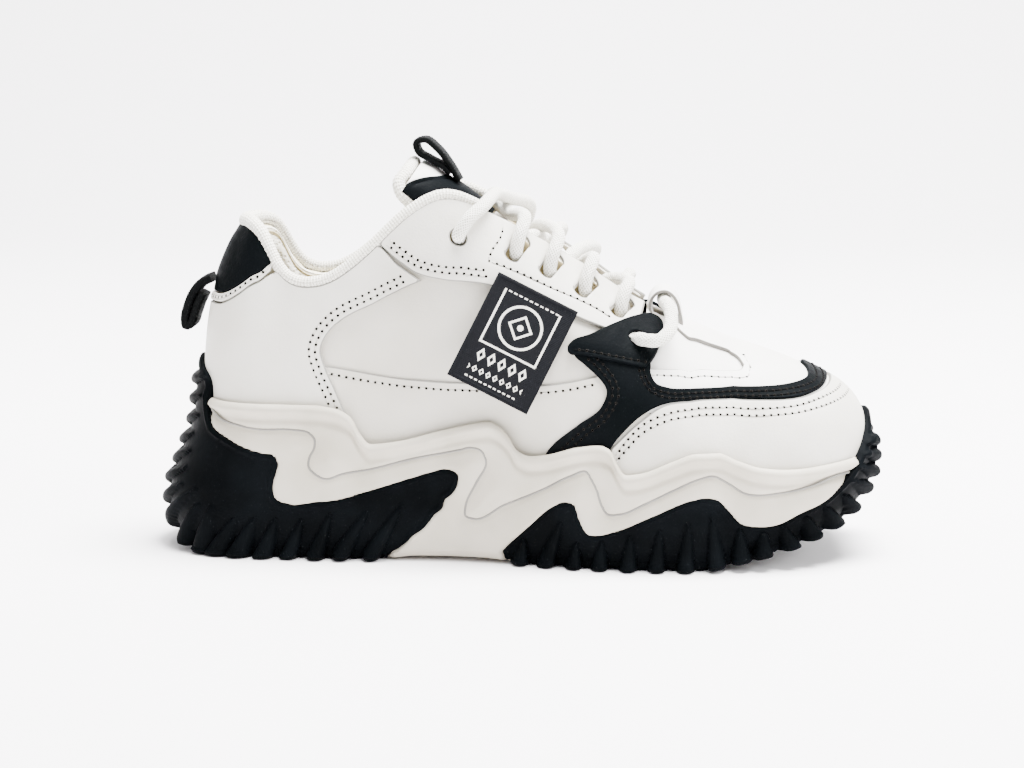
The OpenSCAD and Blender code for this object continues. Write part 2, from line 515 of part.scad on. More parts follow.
// Forefoot pieces that cross the ridge, by the fraction of the meridian where they begin
module vamp() {
    color("#f1efea") saddle(50.5, toe_q, [[0, 0], [1, 0]], -2 * layer, leather, 16, 6);
}
module vamp_facing() {
    color("#f3f1ec") saddle(52.5, toe_q, [[52, 0.53], [84, 0.57], [95, 0.66], [120, 0.85], [154, 0.92]],
        -layer - 0.15,
        leather - 0.6, 16, 3);
}
module vamp_lining() {
    color("#d8cfb8") saddle(50.5, toe_q, [[0, 0], [1, 0]], -5.6, lining, 16, 6);
}
module toe_puff() {
    low = [[112, 40], [126, 41], [140, 42], [154, 42]];
    high = [[112, 62], [126, 63], [140, 64], [154, 64]];
    color("#b9a47a") panel(whole_toe(low), whole_toe(high), [low[0], high[0]], over_toe([low[0],
        high[0]]), 14, 2,
        -4.2, 0.7);
}
module lace_keeper() {
    color("#f3f1ec") union() {
        saddle(62, toe_q, [[62, 0.82], [84, 0.79], [100, 0.88], [154, 0.945]], 0, leather, 14, 2);
        translate([57.3, 11, 97.4]) rotate([90, 0, 0]) linear_extrude(20) keeper_arch();
    }
}
// Folded end of the keeper, which the lace passes through
module keeper_arch() {
    difference() {
        circle(5.6, $fn = 28);
        circle(4.4, $fn = 28);
        translate([-8, -8]) square([16, 8]);
    }
    translate([4.4, -4.3]) square([1.2, 4.5]);
}

// Collar: knitted binding on the rim, foam behind it, and the linings
function rim_point(q) = skin(q, 1, -3) + [0, 0, binding_d / 2 + 0.6];
module collar_binding() {
    n = 44;
    color("#edeae0") tube([for (i = [0:n]) rim_point(mix(-13, 2 * heel_q + 13, i / n))], binding_d / 2, 8);
}
module collar_foam() {
    low = [[-62, 86], [-71, 79], [-80, 76], [-92, 78], [-105, 86], [-120, 90], [-142, 91]];
    high = [for (q = [-62:-16:-142]) rim(q)];
    color("#e5dcc0") heel_strip(low, high, [low[0], high[0]], 24, 3, -4.2, 2);
}
lining_depth = [[-60, -7.5], [-20, -5]];
function lining_row(q, out) = [for (j = [0:4]) skin(q, 0.985 * j / 4, curve(lining_depth, fold(q)) + out)];
module quarter_lining() {
    n = 42;
    stations = [for (i = [0:n]) mix(2 * heel_q - 43, 43, i / n)];
    color("#b5a67c") difference() {
        slab([for (q = stations) lining_row(q, 0)], [for (q = stations) lining_row(q, -lining)]);
        lace_holes(false);
        lace_holes(true);
    }
}

// Tube of equal rings swept along points, its frame carried from ring to ring
function unit(v) = v / norm(v);
function across(v, t) = unit(v - (v * t) * t);
function way(p, i) = unit(p[min(i + 1, len(p) - 1)] - p[max(i - 1, 0)]);
module tube(path, r, sides) {
    n = len(path) - 1;
    start = across([0.31, 0.17, 0.93], way(path, 0));
    frames = [for (i = 0, f = start; i <= n; i = i + 1, f = i <= n ? across(f, way(path, i)) : f) f];
    points = [for (i = [0:n]) let (t = way(path, i), f = across(frames[i], t), g = cross(t, f))
        each [for (k = [0:sides - 1]) path[i] + r * (cos(360 * k / sides) * f + sin(360 * k / sides) * g)]];
    faces = concat(
        [for (i = [0:n - 1], k = [0:sides - 1]) let (a = i * sides + k, b = i * sides + (k + 1) % sides)
            each [[a, a + sides, b + sides], [a, b + sides, b]]],
        [[for (k = [0:sides - 1]) k]], [[for (k = [sides - 1:-1:0]) n * sides + k]]);
    polyhedron(points, faces);
}
module lace() {
    color("#f1efe6") tube(lace_route, lace_d / 2, 8);
}
// Plastic tips, tucked inside the collar
module lace_tips() {
    color("#f4f3ee") for (s = [-1, 1]) translate(lace_route[0] + [0, s > 0 ? -2 * lace_route[0][1] : 0, 0])
        rotate([0, -162, 0]) translate([0, 0, 0.1]) cylinder(18, r = lace_d / 2 - 0.5, $fn = 24);
}

// Tongue: a padded sheet arched over the instep
function tongue_at(u, v, out) = let (p = along(tongue_line, u), d = unit(along(tongue_line, u + 0.02)
    - along(tongue_line, u - 0.02)), w = curve(tongue_width, u) / sin(75), h = curve(tongue_drop,
        u) / (1 - cos(75)),
    a = 75 * v, lift = (h + out) * cos(a) - h)
    [p[0] + d[1] * lift, (w + out) * sin(a), p[1] - d[0] * lift];
module tongue_layer(from, to, out, thick, nu, reach = 1, nv = 8) {
    grid = function(o) [for (j = [0:nv]) [for (i = [0:nu])
        tongue_at(mix(from, to, i / nu), reach * (2 * j / nv - 1), o)]];
    slab(grid(out), grid(out - thick));
}
module tongue_foam() {
    color("#e5dcc0") tongue_layer(0.03, 0.97, -1.3, 4, 12, 0.94);
}
module tongue_face() {
    color("#e9e8e3") tongue_layer(0.03, 0.62, 0, 1, 8);
}
module tongue_panel() {
    color("#16191c") tongue_layer(0.625, 0.86, 0, 1, 4);
}
module tongue_top_patch() {
    color("#f1efea") tongue_layer(0.865, 0.98, 0, 1, 3);
}
module tongue_lining() {
    color("#b5a67c") tongue_layer(0.03, 0.98, -5.6, 0.9, 12);
}
knit_r = 2.3;
module tongue_knit() {
    reach = 1.125;
    side_path = [for (u = [0.76:0.06:0.94]) u];
    path = concat([for (u = side_path) tongue_at(u, -reach, -3)], [tongue_at(0.99, -1.06, -3)],
        [for (v = [-0.9:0.3:0.9]) tongue_at(1.0, v, -3) + [-2.2, 0, 1.5]],
        [tongue_at(0.99, 1.06, -3)], [for (i = [len(side_path) - 1:-1:0]) tongue_at(side_path[i], reach,
        -3)]);
    color("#edeae0") tube(path, knit_r, 8);
}

// Webbing loop drawn from the side, as a band along a curve of [x, z] points
module webbing_loop(points, steps = 28) {
    edge = function(s) [for (i = [0:steps]) let (u = i / steps, d = unit(along(points,
        u + 0.01) - along(points, u - 0.01)))
        along(points, u) + s * webbing_t / 2 * [-d[1], d[0]]];
    color("#111416") translate([0, webbing_w / 2, 0]) rotate([90, 0, 0]) linear_extrude(webbing_w)
        polygon(concat(edge(1), reversed(edge(-1))));
}
module tongue_pull_loop() {
    webbing_loop([[-25.5, 148.8], [-29, 155.2], [-33.5, 160.2], [-37.8, 162.2], [-40.6, 160.4], [-39.6,
        157],
        [-35, 154.8], [-29.2, 151.2]]);
}
module heel_pull_loop() {
    webbing_loop([[-123, 106.8], [-126, 105.6], [-130, 101.6], [-132.8, 95.6], [-134, 89.6], [-133.6, 86],
        [-131, 86.4], [-128.2, 90.4], [-126.2, 95.4], [-125.2, 100]]);
}

// Woven label: a flap that hangs from its sewn top edge
label_start = [-6, -38.2, 113.5];
module woven_label() {
    color("#10131c") translate(label_start) rotate([0, 26.8, 0]) rotate([-15, 0, 0])
        translate([0, -0.45, -label_l]) cube([label_w, 0.9, label_l]);
}

outsole_heel();
outsole_forefoot();
midsole();
insole_board();
sockliner();
heel_counter();
toe_puff();
vamp();
vamp_facing();
lace_keeper();
toe_mudguard();
toe_band();
lateral_sweep();
medial_sweep();
lateral_lace_lobe();
medial_lace_lobe();
lateral_side_panel();
medial_side_panel();
lateral_lower_panel();
medial_lower_panel();
heel_overlay();
heel_trim();
heel_tab();
heel_pull_loop();
lateral_collar_panel();
medial_collar_panel();
lateral_eyestay();
medial_eyestay();
collar_binding();
collar_foam();
quarter_lining();
vamp_lining();
tongue_foam();
tongue_face();
tongue_panel();
tongue_top_patch();
tongue_knit();
tongue_lining();
tongue_pull_loop();
lace();
lace_tips();
woven_label();
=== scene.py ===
import math
import bpy
import numpy as np
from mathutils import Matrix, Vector
from mathutils.geometry import delaunay_2d_cdt
from mathutils.kdtree import KDTree


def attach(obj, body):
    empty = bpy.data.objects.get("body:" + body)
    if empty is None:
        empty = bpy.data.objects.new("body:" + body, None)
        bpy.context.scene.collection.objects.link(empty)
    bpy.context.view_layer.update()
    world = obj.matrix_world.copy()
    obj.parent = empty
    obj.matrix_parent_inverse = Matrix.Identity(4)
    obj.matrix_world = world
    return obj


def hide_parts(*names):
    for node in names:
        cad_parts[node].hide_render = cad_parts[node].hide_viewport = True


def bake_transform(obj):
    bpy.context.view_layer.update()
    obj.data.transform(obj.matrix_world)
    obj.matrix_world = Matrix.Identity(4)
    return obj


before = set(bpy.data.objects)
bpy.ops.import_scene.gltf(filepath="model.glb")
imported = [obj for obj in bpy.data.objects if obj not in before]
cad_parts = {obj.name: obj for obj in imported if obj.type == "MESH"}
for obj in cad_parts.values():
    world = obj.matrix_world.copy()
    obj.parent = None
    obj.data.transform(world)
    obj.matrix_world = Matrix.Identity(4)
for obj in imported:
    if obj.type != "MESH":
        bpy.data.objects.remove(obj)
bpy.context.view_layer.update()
MM = 0.001

# ---------------------------------------------------------------- camera
def aim(obj, target):
    obj.rotation_euler = (Vector(target) - obj.location).to_track_quat("-Z", "Y").to_euler()

camera_data = bpy.data.cameras.new("photo_camera")
camera_data.lens, camera_data.sensor_width = 87.9, 36
camera_data.clip_start, camera_data.clip_end = 0.05, 20
camera = bpy.data.objects.new("photo_camera", camera_data)
bpy.context.scene.collection.objects.link(camera)
camera.location = (0.0487, -0.9863, 0.2205)
aim(camera, (-0.003, 0, 0.0641))
bpy.context.scene.camera = camera

# ---------------------------------------------------------------- numbers shared with the part's source, in mm
HEEL_X, TOE_X, HEEL_Q, TOE_Q = -92.0, 84.0, -142.0, 154.0
LATERAL = [(-92, 36), (-70, 38), (-50, 37.5), (-30, 37), (-10, 40), (10, 45.5), (30, 51), (50, 54),
    (70, 55), (84, 52.5)]
MEDIAL = [(-92, 35), (-70, 35.5), (-50, 34.5), (-30, 34), (-10, 35), (10, 38.5), (30, 43), (50, 46.5),
    (70, 46), (84, 44)]
SPINE = [(-20, 0), (20, 1), (50, 2), (84, 4)]
FOOT_IN = [(-142, 2), (-92, 2.5), (0, 2.5), (84, 2.5), (120, 2.2), (154, 2)]
FOOT_Z = [(-142, 48), (-92, 46), (-50, 41), (0, 34), (40, 30), (84, 30), (154, 34)]
RIM_WIDTH = [(-142, 19), (-120, 20), (-105, 24), (-92, 27.5), (-83, 30), (-60, 31), (-40, 29.5), (-30, 28),
    (-20, 26.5),
    (0, 22), (20, 18), (40, 14.5), (50, 12), (58, 8.5), (63, 5), (67, 0.6), (68, 0)]
RIM_Z = [(-142, 128.5), (-120, 128.5), (-110, 127.5), (-102, 124.5), (-97, 117.5), (-92, 110.5),
    (-88, 107.5), (-83, 106),
    (-78, 106.3), (-72, 108), (-63, 114), (-53, 123), (-44, 132), (-37, 137), (-30, 140.5), (-26, 141),
    (-20, 139.5),
    (-10, 135), (0, 130), (12, 123), (27, 114), (40, 105), (50, 99), (58, 95.5), (67, 91.5), (84, 84.5)]
RIM_SLOPE = [(-142, 62), (-110, 70), (-92, 80), (-60, 86), (-40, 75), (-20, 62), (0, 50), (20, 42),
    (40, 33), (54, 18),
    (63, 5), (67, 0)]
FOOT_LEAN = [(-142, 2.4), (-92, 0), (-40, 0), (20, 3), (84, 3), (154, 7.6)]
FOOT_FULL = [(-142, 0.57), (-92, 0.45), (-40, 0.45), (0, 0.5), (60, 0.55), (84, 0.55), (154, 0.6)]
TOP_FULL = [(-142, 0.31), (-92, 0.35), (-40, 0.4), (0, 0.5), (60, 0.55), (84, 0.55), (154, 0.69)]
WALL_TOP = [(-142, 63), (-110, 61), (-78, 61), (-70, 60), (-64, 57), (-60, 50), (-56, 46), (-46, 47),
    (-30, 51),
    (-16, 54.5), (-10, 55.5), (-6, 54), (-2, 50), (1, 45), (6, 43), (13, 44), (25, 47.5), (33, 48.5),
    (37, 47), (40, 41),
    (43, 37.5), (48, 38), (61, 43), (70, 46), (78, 46), (85, 43), (93, 40), (103, 39), (121, 40), (154, 42)]
BED_Z = [(-142, 45), (-92, 43), (-50, 38), (0, 31), (40, 27), (84, 27), (154, 31)]
UNDER_Z = [(-142, 3), (-120, 0), (-50, 0), (-38, 1), (-12, 1), (2, 0), (72, 0), (85, 2.5), (98, 6),
    (110, 10), (125, 14),
    (154, 19)]
HEEL_FLARE = [(4, 9), (16, 12), (26, 11), (33, 8), (41, 5), (49, 2), (57, 0.5), (65, 0)]
TOE_FLARE = [(14, -9), (19, -5), (24, -2.5), (32, 0)]
TONGUE_LINE = [(50, 86), (40, 94), (20, 110), (4, 122.5), (-14, 137), (-26, 146), (-38, 153.5)]
TONGUE_WIDTH = [(0, 12), (0.2, 17), (0.4, 19.5), (0.78, 19.5), (0.9, 21.5), (1, 22)]
TONGUE_DROP = [(0, 7), (0.3, 13), (0.6, 15), (1, 12)]
SLOTS = [(0.5, 0.915), (13.5, 0.915), (27, 0.905), (41, 0.9)]
LACE_ROUTE = [(-33, -22.5, 101), (-30, -23, 110), (-25, -24.5, 118), (-22, -28, 124.5), (-21.5, -34, 127.5),
    (-18, -34, 133), (-13, -28.5, 137.5), (-8.5, -11, 141), (-4, 2, 138.5), (3, 24.5, 131.5), (1.5, 28, 127),
    (0, 27.5, 120.5), (1, 21, 116.5), (5, 12.5, 124.5), (8.5, 0, 128), (16, -20.5, 124), (14.5, -24.5, 120),
    (13, -25, 113.5), (14, -19, 108), (18, -8.5, 114), (22, 0, 117.5), (29.5, 20, 116), (28, 24, 113),
    (26.5, 24.5, 106.5), (27.5, 19, 101), (31.5, 8.5, 103.5), (35.5, 0, 106.5), (43.5, -14, 106.5),
    (42, -18.5, 104), (40.5, -20.5, 97.5), (41.5, -15.5, 91.5), (46, -24, 81), (46.6, -29, 84.5),
    (47.6, -34.5, 87.5), (50.5, -38, 87.5), (55, -38.5, 87.5), (58.8, -35, 90), (60, -29, 94),
    (59.3, -21, 97.8), (57.5, -9, 98.8), (57.5, 9, 98.8), (59.3, 21, 98.3), (60, 29.5, 94.8),
    (58.8, 35.5, 91), (55, 39, 88.5), (50.5, 38.5, 88.5), (47.6, 35.5, 88.5), (46.6, 30, 85.5),
    (46, 25, 82.5), (41.5, 18, 92), (40.5, 22.5, 98), (42, 21.5, 104), (43.5, 17.5, 106.5), (35.5, 0, 101),
    (31.5, -6, 103.5), (27.5, -17.5, 100.5), (26.5, -23, 106), (28, -21.5, 112.5), (29.5, -17.5, 116),
    (22, 0, 112), (18, 10.5, 114), (14, 20, 109), (13, 26, 114), (14.5, 26, 120.5), (16, 22, 124),
    (8.5, 0, 122.5), (5, -11.5, 124.5), (1, -20.5, 116), (0, -27, 120), (1.5, -27.5, 127), (3, -23.5, 131.5),
    (-4, -2, 133), (-8.5, 11, 137), (-13, 29, 137.5), (-18, 34, 133), (-21.5, 33.5, 128), (-22, 28, 125),
    (-25, 24.5, 118), (-30, 23, 110), (-33, 22.5, 101)]


# ---------------------------------------------------------------- the shoe's surfaces, as arrays of points in mm
def curve(table, x):
    """Smooth value through (x, y) pairs without overshoot."""
    p = np.array(table, float)
    X, Y = p[:, 0], p[:, 1]
    d = np.diff(Y) / np.diff(X)
    a, b = d[:-1], d[1:]
    total = np.where(a + b == 0, 1, a + b)
    m = np.concatenate([d[:1], np.where(a * b > 0, 2 * a * b / total, 0), d[-1:]])
    x = np.clip(np.asarray(x, float), X[0], X[-1])
    i = np.clip(np.searchsorted(X, x, side="right") - 1, 0, len(X) - 2)
    h = X[i + 1] - X[i]
    u = (x - X[i]) / h
    return (Y[i] * (2 * u**3 - 3 * u**2 + 1) + Y[i + 1] * (3 * u**2 - 2 * u**3)
            + h * m[i] * (u**3 - 2 * u**2 + u) + h * m[i + 1] * (u**3 - u**2))

def fold(P):
    return np.where(P > TOE_Q, 2 * TOE_Q - P, np.where(P < HEEL_Q, 2 * HEEL_Q - P, P))

def plan(P):
    """Folded chart place, wall radius, centre and direction of the section, and angle in the heel or toe fan."""
    P = np.asarray(P, float)
    f = fold(P)
    s = np.where((P > TOE_Q) | (P < HEEL_Q), 1.0, -1.0)
    turn = np.where(f > TOE_X, (f - TOE_X) / 70, np.where(f < HEEL_X, (f - HEEL_X) / 50, 0)) * np.pi / 2
    w = np.where(s < 0, curve(LATERAL, f), curve(MEDIAL, f))
    a, n = np.where(f > TOE_X, 56.5, 36.0), np.where(f > TOE_X, 2.25, 2.3)
    reach = ((np.abs(np.cos(turn)) / w)**n + (np.abs(np.sin(turn)) / a)**n)**(-1 / n)
    x = np.clip(f, HEEL_X, TOE_X)
    return f, reach, (x, curve(SPINE, x)), (np.sin(turn), s * np.cos(turn)), turn

def meridian(P):
    f, reach, c, d, turn = plan(P)
    g = np.where(f > TOE_X, np.arctan(0.33 * np.sin(turn)), np.radians(curve(RIM_SLOPE, f)))
    lean = np.radians(curve(FOOT_LEAN, f))
    r0, z0, r3, z3 = reach - curve(FOOT_IN, f), curve(FOOT_Z, f), curve(RIM_WIDTH, f), curve(RIM_Z, f)
    low = curve(FOOT_FULL, f) * (z3 - z0)
    high = curve(TOP_FULL, f) * ((r0 - r3) * np.cos(g) + (z3 - z0) * np.sin(g))
    return [(r0, z0), (r0 + low * np.sin(lean), z0 + low * np.cos(lean)),
            (r3 + high * np.cos(g), z3 - high * np.sin(g)), (r3, z3)], c, d

def bezier(k, t, i):
    return k[0][i] * (1 - t)**3 + k[1][i] * 3 * t * (1 - t)**2 + k[2][i] * 3 * t * t * (1 - t) + k[3][i] * t**3

def softened(surface):
    """The surface averaged over a short way along the shoe, so that its parts run into each other."""
    def at(P, *more):
        P = np.asarray(P, float)
        return sum(w * surface(P + d, *more) for d, w in ((-5, 1), (-2.5, 2), (0, 3), (2.5, 2), (5, 1))) / 9
    return at

@softened
def skin(P, t, off=0.0):
    """Point of the upper at chart place P and fraction t of the way up, moved outward by off."""
    P, t, off = np.broadcast_arrays(np.asarray(P, float), np.asarray(t, float), np.asarray(off, float))
    k, c, d = meridian(P)
    v = [(k[1][i] - k[0][i]) * (1 - t)**2 + (k[2][i] - k[1][i]) * 2 * t * (1 - t) + (k[3][i] - k[2][i]) * t * t
         for i in (0, 1)]
    n = np.hypot(v[0], v[1]) + 1e-9
    r, z = bezier(k, t, 0) + off * v[1] / n, bezier(k, t, 1) - off * v[0] / n
    return np.stack([c[0] + r * d[0], c[1] + r * d[1], z], -1)

def level(P, z):
    """Fraction t of the way up at height z."""
    P, z = np.broadcast_arrays(np.asarray(P, float), np.asarray(z, float))
    k = meridian(P)[0]
    low, high = np.zeros(P.shape), np.ones(P.shape)
    for _ in range(22):
        t = (low + high) / 2
        under = bezier(k, t, 1) < z
        low, high = np.where(under, t, low), np.where(under, high, t)
    return np.where(z >= k[3][1], 1.0, (low + high) / 2)

def upper_r(P, z):
    return bezier(meridian(P)[0], level(P, z), 0)

@softened
def wall(P, z, out=0.0):
    """Point of the sole's side at height z, moved outward by out."""
    P, z, out = np.broadcast_arrays(np.asarray(P, float), np.asarray(z, float), np.asarray(out, float))
    f, reach, c, d, turn = plan(P)
    flare = np.sin(turn)**2 * np.where(f > TOE_X, curve(TOE_FLARE, z), curve(HEEL_FLARE, z))
    r = reach + flare + out
    return np.stack([c[0] + r * d[0], c[1] + r * d[1], z], -1)

def dome(x, y, off=0.0):
    """Point of the upper's front over a place (x, y) in plan."""
    x, y, off = np.broadcast_arrays(np.asarray(x, float), np.asarray(y, float), np.asarray(off, float))
    ahead = np.maximum(x - TOE_X, 0)
    dy = y - curve(SPINE, np.minimum(x, TOE_X))
    r = np.hypot(ahead, dy)
    f = np.where(ahead > 0, TOE_X + 70 * np.arctan2(ahead, np.abs(dy)) / (np.pi / 2), x)
    P = np.where(dy > 0, 2 * TOE_Q - f, f)
    k = meridian(P)[0]
    low, high = np.zeros(P.shape), np.ones(P.shape)
    for _ in range(22):
        t = (low + high) / 2
        outside = bezier(k, t, 0) > r
        low, high = np.where(outside, t, low), np.where(outside, high, t)
    return skin(P, (low + high) / 2, off)

def line_at(points, u):
    """Smooth point along a list of points, u from 0 to 1."""
    p = np.array(points, float)
    w = np.clip(np.asarray(u, float), 0, 1) * (len(p) - 1)
    i = np.minimum(np.floor(w).astype(int), len(p) - 2)
    s = (w - i)[..., None]
    a, b, c, d = (p[np.clip(i + k, 0, len(p) - 1)] for k in (-1, 0, 1, 2))
    return b + s * (c - a) / 2 + s * s * (a - 2.5 * b + 2 * c - d / 2) + s**3 * (1.5 * b - a / 2 - 1.5 * c + d / 2)

def tongue(u, v, out=0.0):
    """Point of the tongue, u from its foot to its top and v from edge to edge, -1 to 1."""
    u, v, out = np.broadcast_arrays(np.asarray(u, float), np.asarray(v, float), np.asarray(out, float))
    p = line_at(TONGUE_LINE, u)
    d = line_at(TONGUE_LINE, u + 0.02) - line_at(TONGUE_LINE, u - 0.02)
    d /= np.linalg.norm(d, axis=-1, keepdims=True)
    w = curve(TONGUE_WIDTH, u) / math.sin(math.radians(75))
    h = curve(TONGUE_DROP, u) / (1 - math.cos(math.radians(75)))
    a = np.radians(75 * v)
    lift = (h + out) * np.cos(a) - h
    return np.stack([p[..., 0] + d[..., 1] * lift, (w + out) * np.sin(a), p[..., 1] - d[..., 0] * lift], -1)


# ---------------------------------------------------------------- lines and meshes
def smooth(points, step=0.8):
    """Curve through the points, sampled about every step."""
    p = np.array(points, float)
    h = np.linalg.norm(np.diff(p, axis=0), axis=1)
    d = np.diff(p, axis=0) / h[:, None]
    m = np.empty_like(p)
    m[0], m[-1] = d[0], d[-1]
    m[1:-1] = (d[:-1] * h[1:, None] + d[1:] * h[:-1, None]) / (h[1:] + h[:-1])[:, None]
    if len(p) > 2:
        m[0], m[-1] = 1.5 * d[0] - 0.5 * m[1], 1.5 * d[-1] - 0.5 * m[-2]
    rows = []
    for i, length in enumerate(h):
        u = (np.arange(max(1, math.ceil(length / step))) / max(1, math.ceil(length / step)))[:, None]
        rows.append(p[i] * (2 * u**3 - 3 * u**2 + 1) + p[i + 1] * (3 * u**2 - 2 * u**3)
                    + length * (m[i] * (u**3 - 2 * u**2 + u) + m[i + 1] * (u**3 - u**2)))
    return np.vstack(rows + [p[-1:]])

def loop(*segments, step=0.8):
    """Closed outline from segments that meet at corners."""
    parts = []
    for k, s in enumerate(segments):
        end = segments[(k + 1) % len(segments)][0]
        s = list(s) + ([end] if tuple(end) != tuple(s[-1]) else [])
        parts.append(smooth(s, step)[:-1])
    return np.vstack(parts)

def evenly(line, pitch):
    """Points, unit directions along a 3-D line, one every pitch."""
    h = np.r_[0, np.cumsum(np.linalg.norm(np.diff(line, axis=0), axis=1))]
    n = max(1, int(h[-1] // pitch))
    s = (np.arange(n) + 0.5) * h[-1] / n
    at = lambda q: np.stack([np.interp(q, h, line[:, k]) for k in range(3)], -1)
    d = at(s + 0.3) - at(s - 0.3)
    return at(s), d / (np.linalg.norm(d, axis=1, keepdims=True) + 1e-9)

def inside(points, loops):
    """Whether each 2-D point is inside the closed loops taken together, even-odd."""
    r = np.zeros(len(points), bool)
    for l in loops:
        x1, y1 = l.T
        x2, y2 = np.roll(l, -1, 0).T
        for a in range(0, len(points), 3000):
            px, py = points[a:a + 3000, :1], points[a:a + 3000, 1:]
            cut = (y1 > py) != (y2 > py)
            with np.errstate(divide="ignore", invalid="ignore"):
                hit = cut & (px < (x2 - x1) * (py - y1) / (y2 - y1) + x1)
            r[a:a + 3000] ^= hit.sum(1) % 2 == 1
    return r

def nearest(points, targets):
    """Distance from each 3-D point to the nearest target."""
    tree = KDTree(len(targets))
    for i, t in enumerate(targets):
        tree.insert(t, i)
    tree.balance()
    return np.array([tree.find(p)[2] for p in points])

def dense(line, n=4):
    """The same 3-D line with n times the points."""
    k = np.arange(0, len(line) - 1 + 1e-9, 1 / n)
    return np.stack([np.interp(k, np.arange(len(line)), line[:, i]) for i in range(3)], -1)

def waves(points, length, seed=0):
    """Gentle unevenness, from -1 to 1, about length mm across."""
    rng = np.random.default_rng(seed)
    total = np.zeros(len(points))
    for _ in range(7):
        d = rng.normal(size=3)
        total += np.sin(points @ (d / np.linalg.norm(d)) * 2 * np.pi / (length * rng.uniform(0.7,
            1.5)) + rng.uniform(0, 6.3))
    return total / 7

def build(name, points, faces, mat, body="shoe", uv=None, sharp=38, replaces=(), slot=None):
    """Mesh object from points in mm and faces, riding on a body. mat is a material or (materials, index per face)."""
    me = bpy.data.meshes.new(name)
    me.from_pydata((np.asarray(points) * MM).tolist(), [], [list(map(int, f)) for f in faces])
    mats, index = mat if isinstance(mat, tuple) else ([mat], None)
    for m in mats:
        me.materials.append(m)
    if index is not None:
        me.polygons.foreach_set("material_index", np.asarray(index, np.int32))
    me.polygons.foreach_set("use_smooth", np.ones(len(me.polygons), bool))
    if uv is not None:
        layer = me.uv_layers.new(name="UVMap")
        corner = np.empty(len(me.loops), np.int32)
        me.loops.foreach_get("vertex_index", corner)
        layer.data.foreach_set("uv", np.asarray(uv, np.float32)[corner].ravel())
    me.update()
    if sharp:
        me.set_sharp_from_angle(angle=math.radians(sharp))
    obj = bpy.data.objects.new(name, me)
    bpy.context.scene.collection.objects.link(obj)
    if isinstance(body, str):
        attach(obj, body)
    else:
        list(body)
        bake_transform(obj)
    if replaces:
        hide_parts(*replaces)
    return obj

def grid_faces(n, m, wrap=False, start=0):
    """Faces of an n by m grid of points, the second way wrapped round if asked."""
    j = np.arange(m if wrap else m - 1)
    i = np.arange(n - 1)
    a = start + (i[:, None] * m + j[None]).ravel()
    b = start + (i[:, None] * m + (j[None] + 1) % m).ravel()
    return np.stack([a, a + m, b + m, b], -1)

def tube(name, path, radius, mat, relief=None, sides=28, body="shoe", **more):
    """Closed tube along a 3-D path; relief(s, angle) adds to its radius, in mm."""
    n = len(path)
    t = np.gradient(path, axis=0)
    t /= np.linalg.norm(t, axis=1, keepdims=True)
    f = np.zeros((n, 3))
    v = np.cross(t[0], [0.31, 0.17, 0.93])
    for i in range(n):
        v = v - (v @ t[i]) * t[i]
        v /= np.linalg.norm(v)
        f[i] = v
    g = np.cross(t, f)
    s = np.r_[0, np.cumsum(np.linalg.norm(np.diff(path, axis=0), axis=1))]
    a = np.arange(sides) * 2 * np.pi / sides
    r = np.broadcast_to(np.asarray(radius, float).reshape(-1, 1), (n, sides)).copy()
    if relief:
        r += relief(s[:, None], a[None])
    p = path[:, None] + r[..., None] * (np.cos(a)[None, :, None] * f[:, None] + np.sin(a)[None, :,
        None] * g[:, None])
    points = np.vstack([p.reshape(-1, 3), path[:1], path[-1:]])
    faces = grid_faces(n, sides, wrap=True).tolist()
    last = (n - 1) * sides
    faces += [[n * sides, (k + 1) % sides, k] for k in range(sides)]
    faces += [[n * sides + 1, last + k, last + (k + 1) % sides] for k in range(sides)]
    uv = np.stack(np.broadcast_arrays(s[:, None], a[None] * float(np.mean(radius))), -1).reshape(-1, 2)
    return build(name, points, [x[::-1] for x in faces], mat, body=body,
        uv=np.vstack([uv, uv[:1], uv[-1:]]) * 0.01, **more)


# ---------------------------------------------------------------- finishes
def rgb(code):
    v = np.array([int(code[i:i + 2], 16) for i in (1, 3, 5)]) / 255
    return (*np.where(v < 0.04045, v / 12.92, ((v + 0.055) / 1.055)**2.4).tolist(), 1.0)

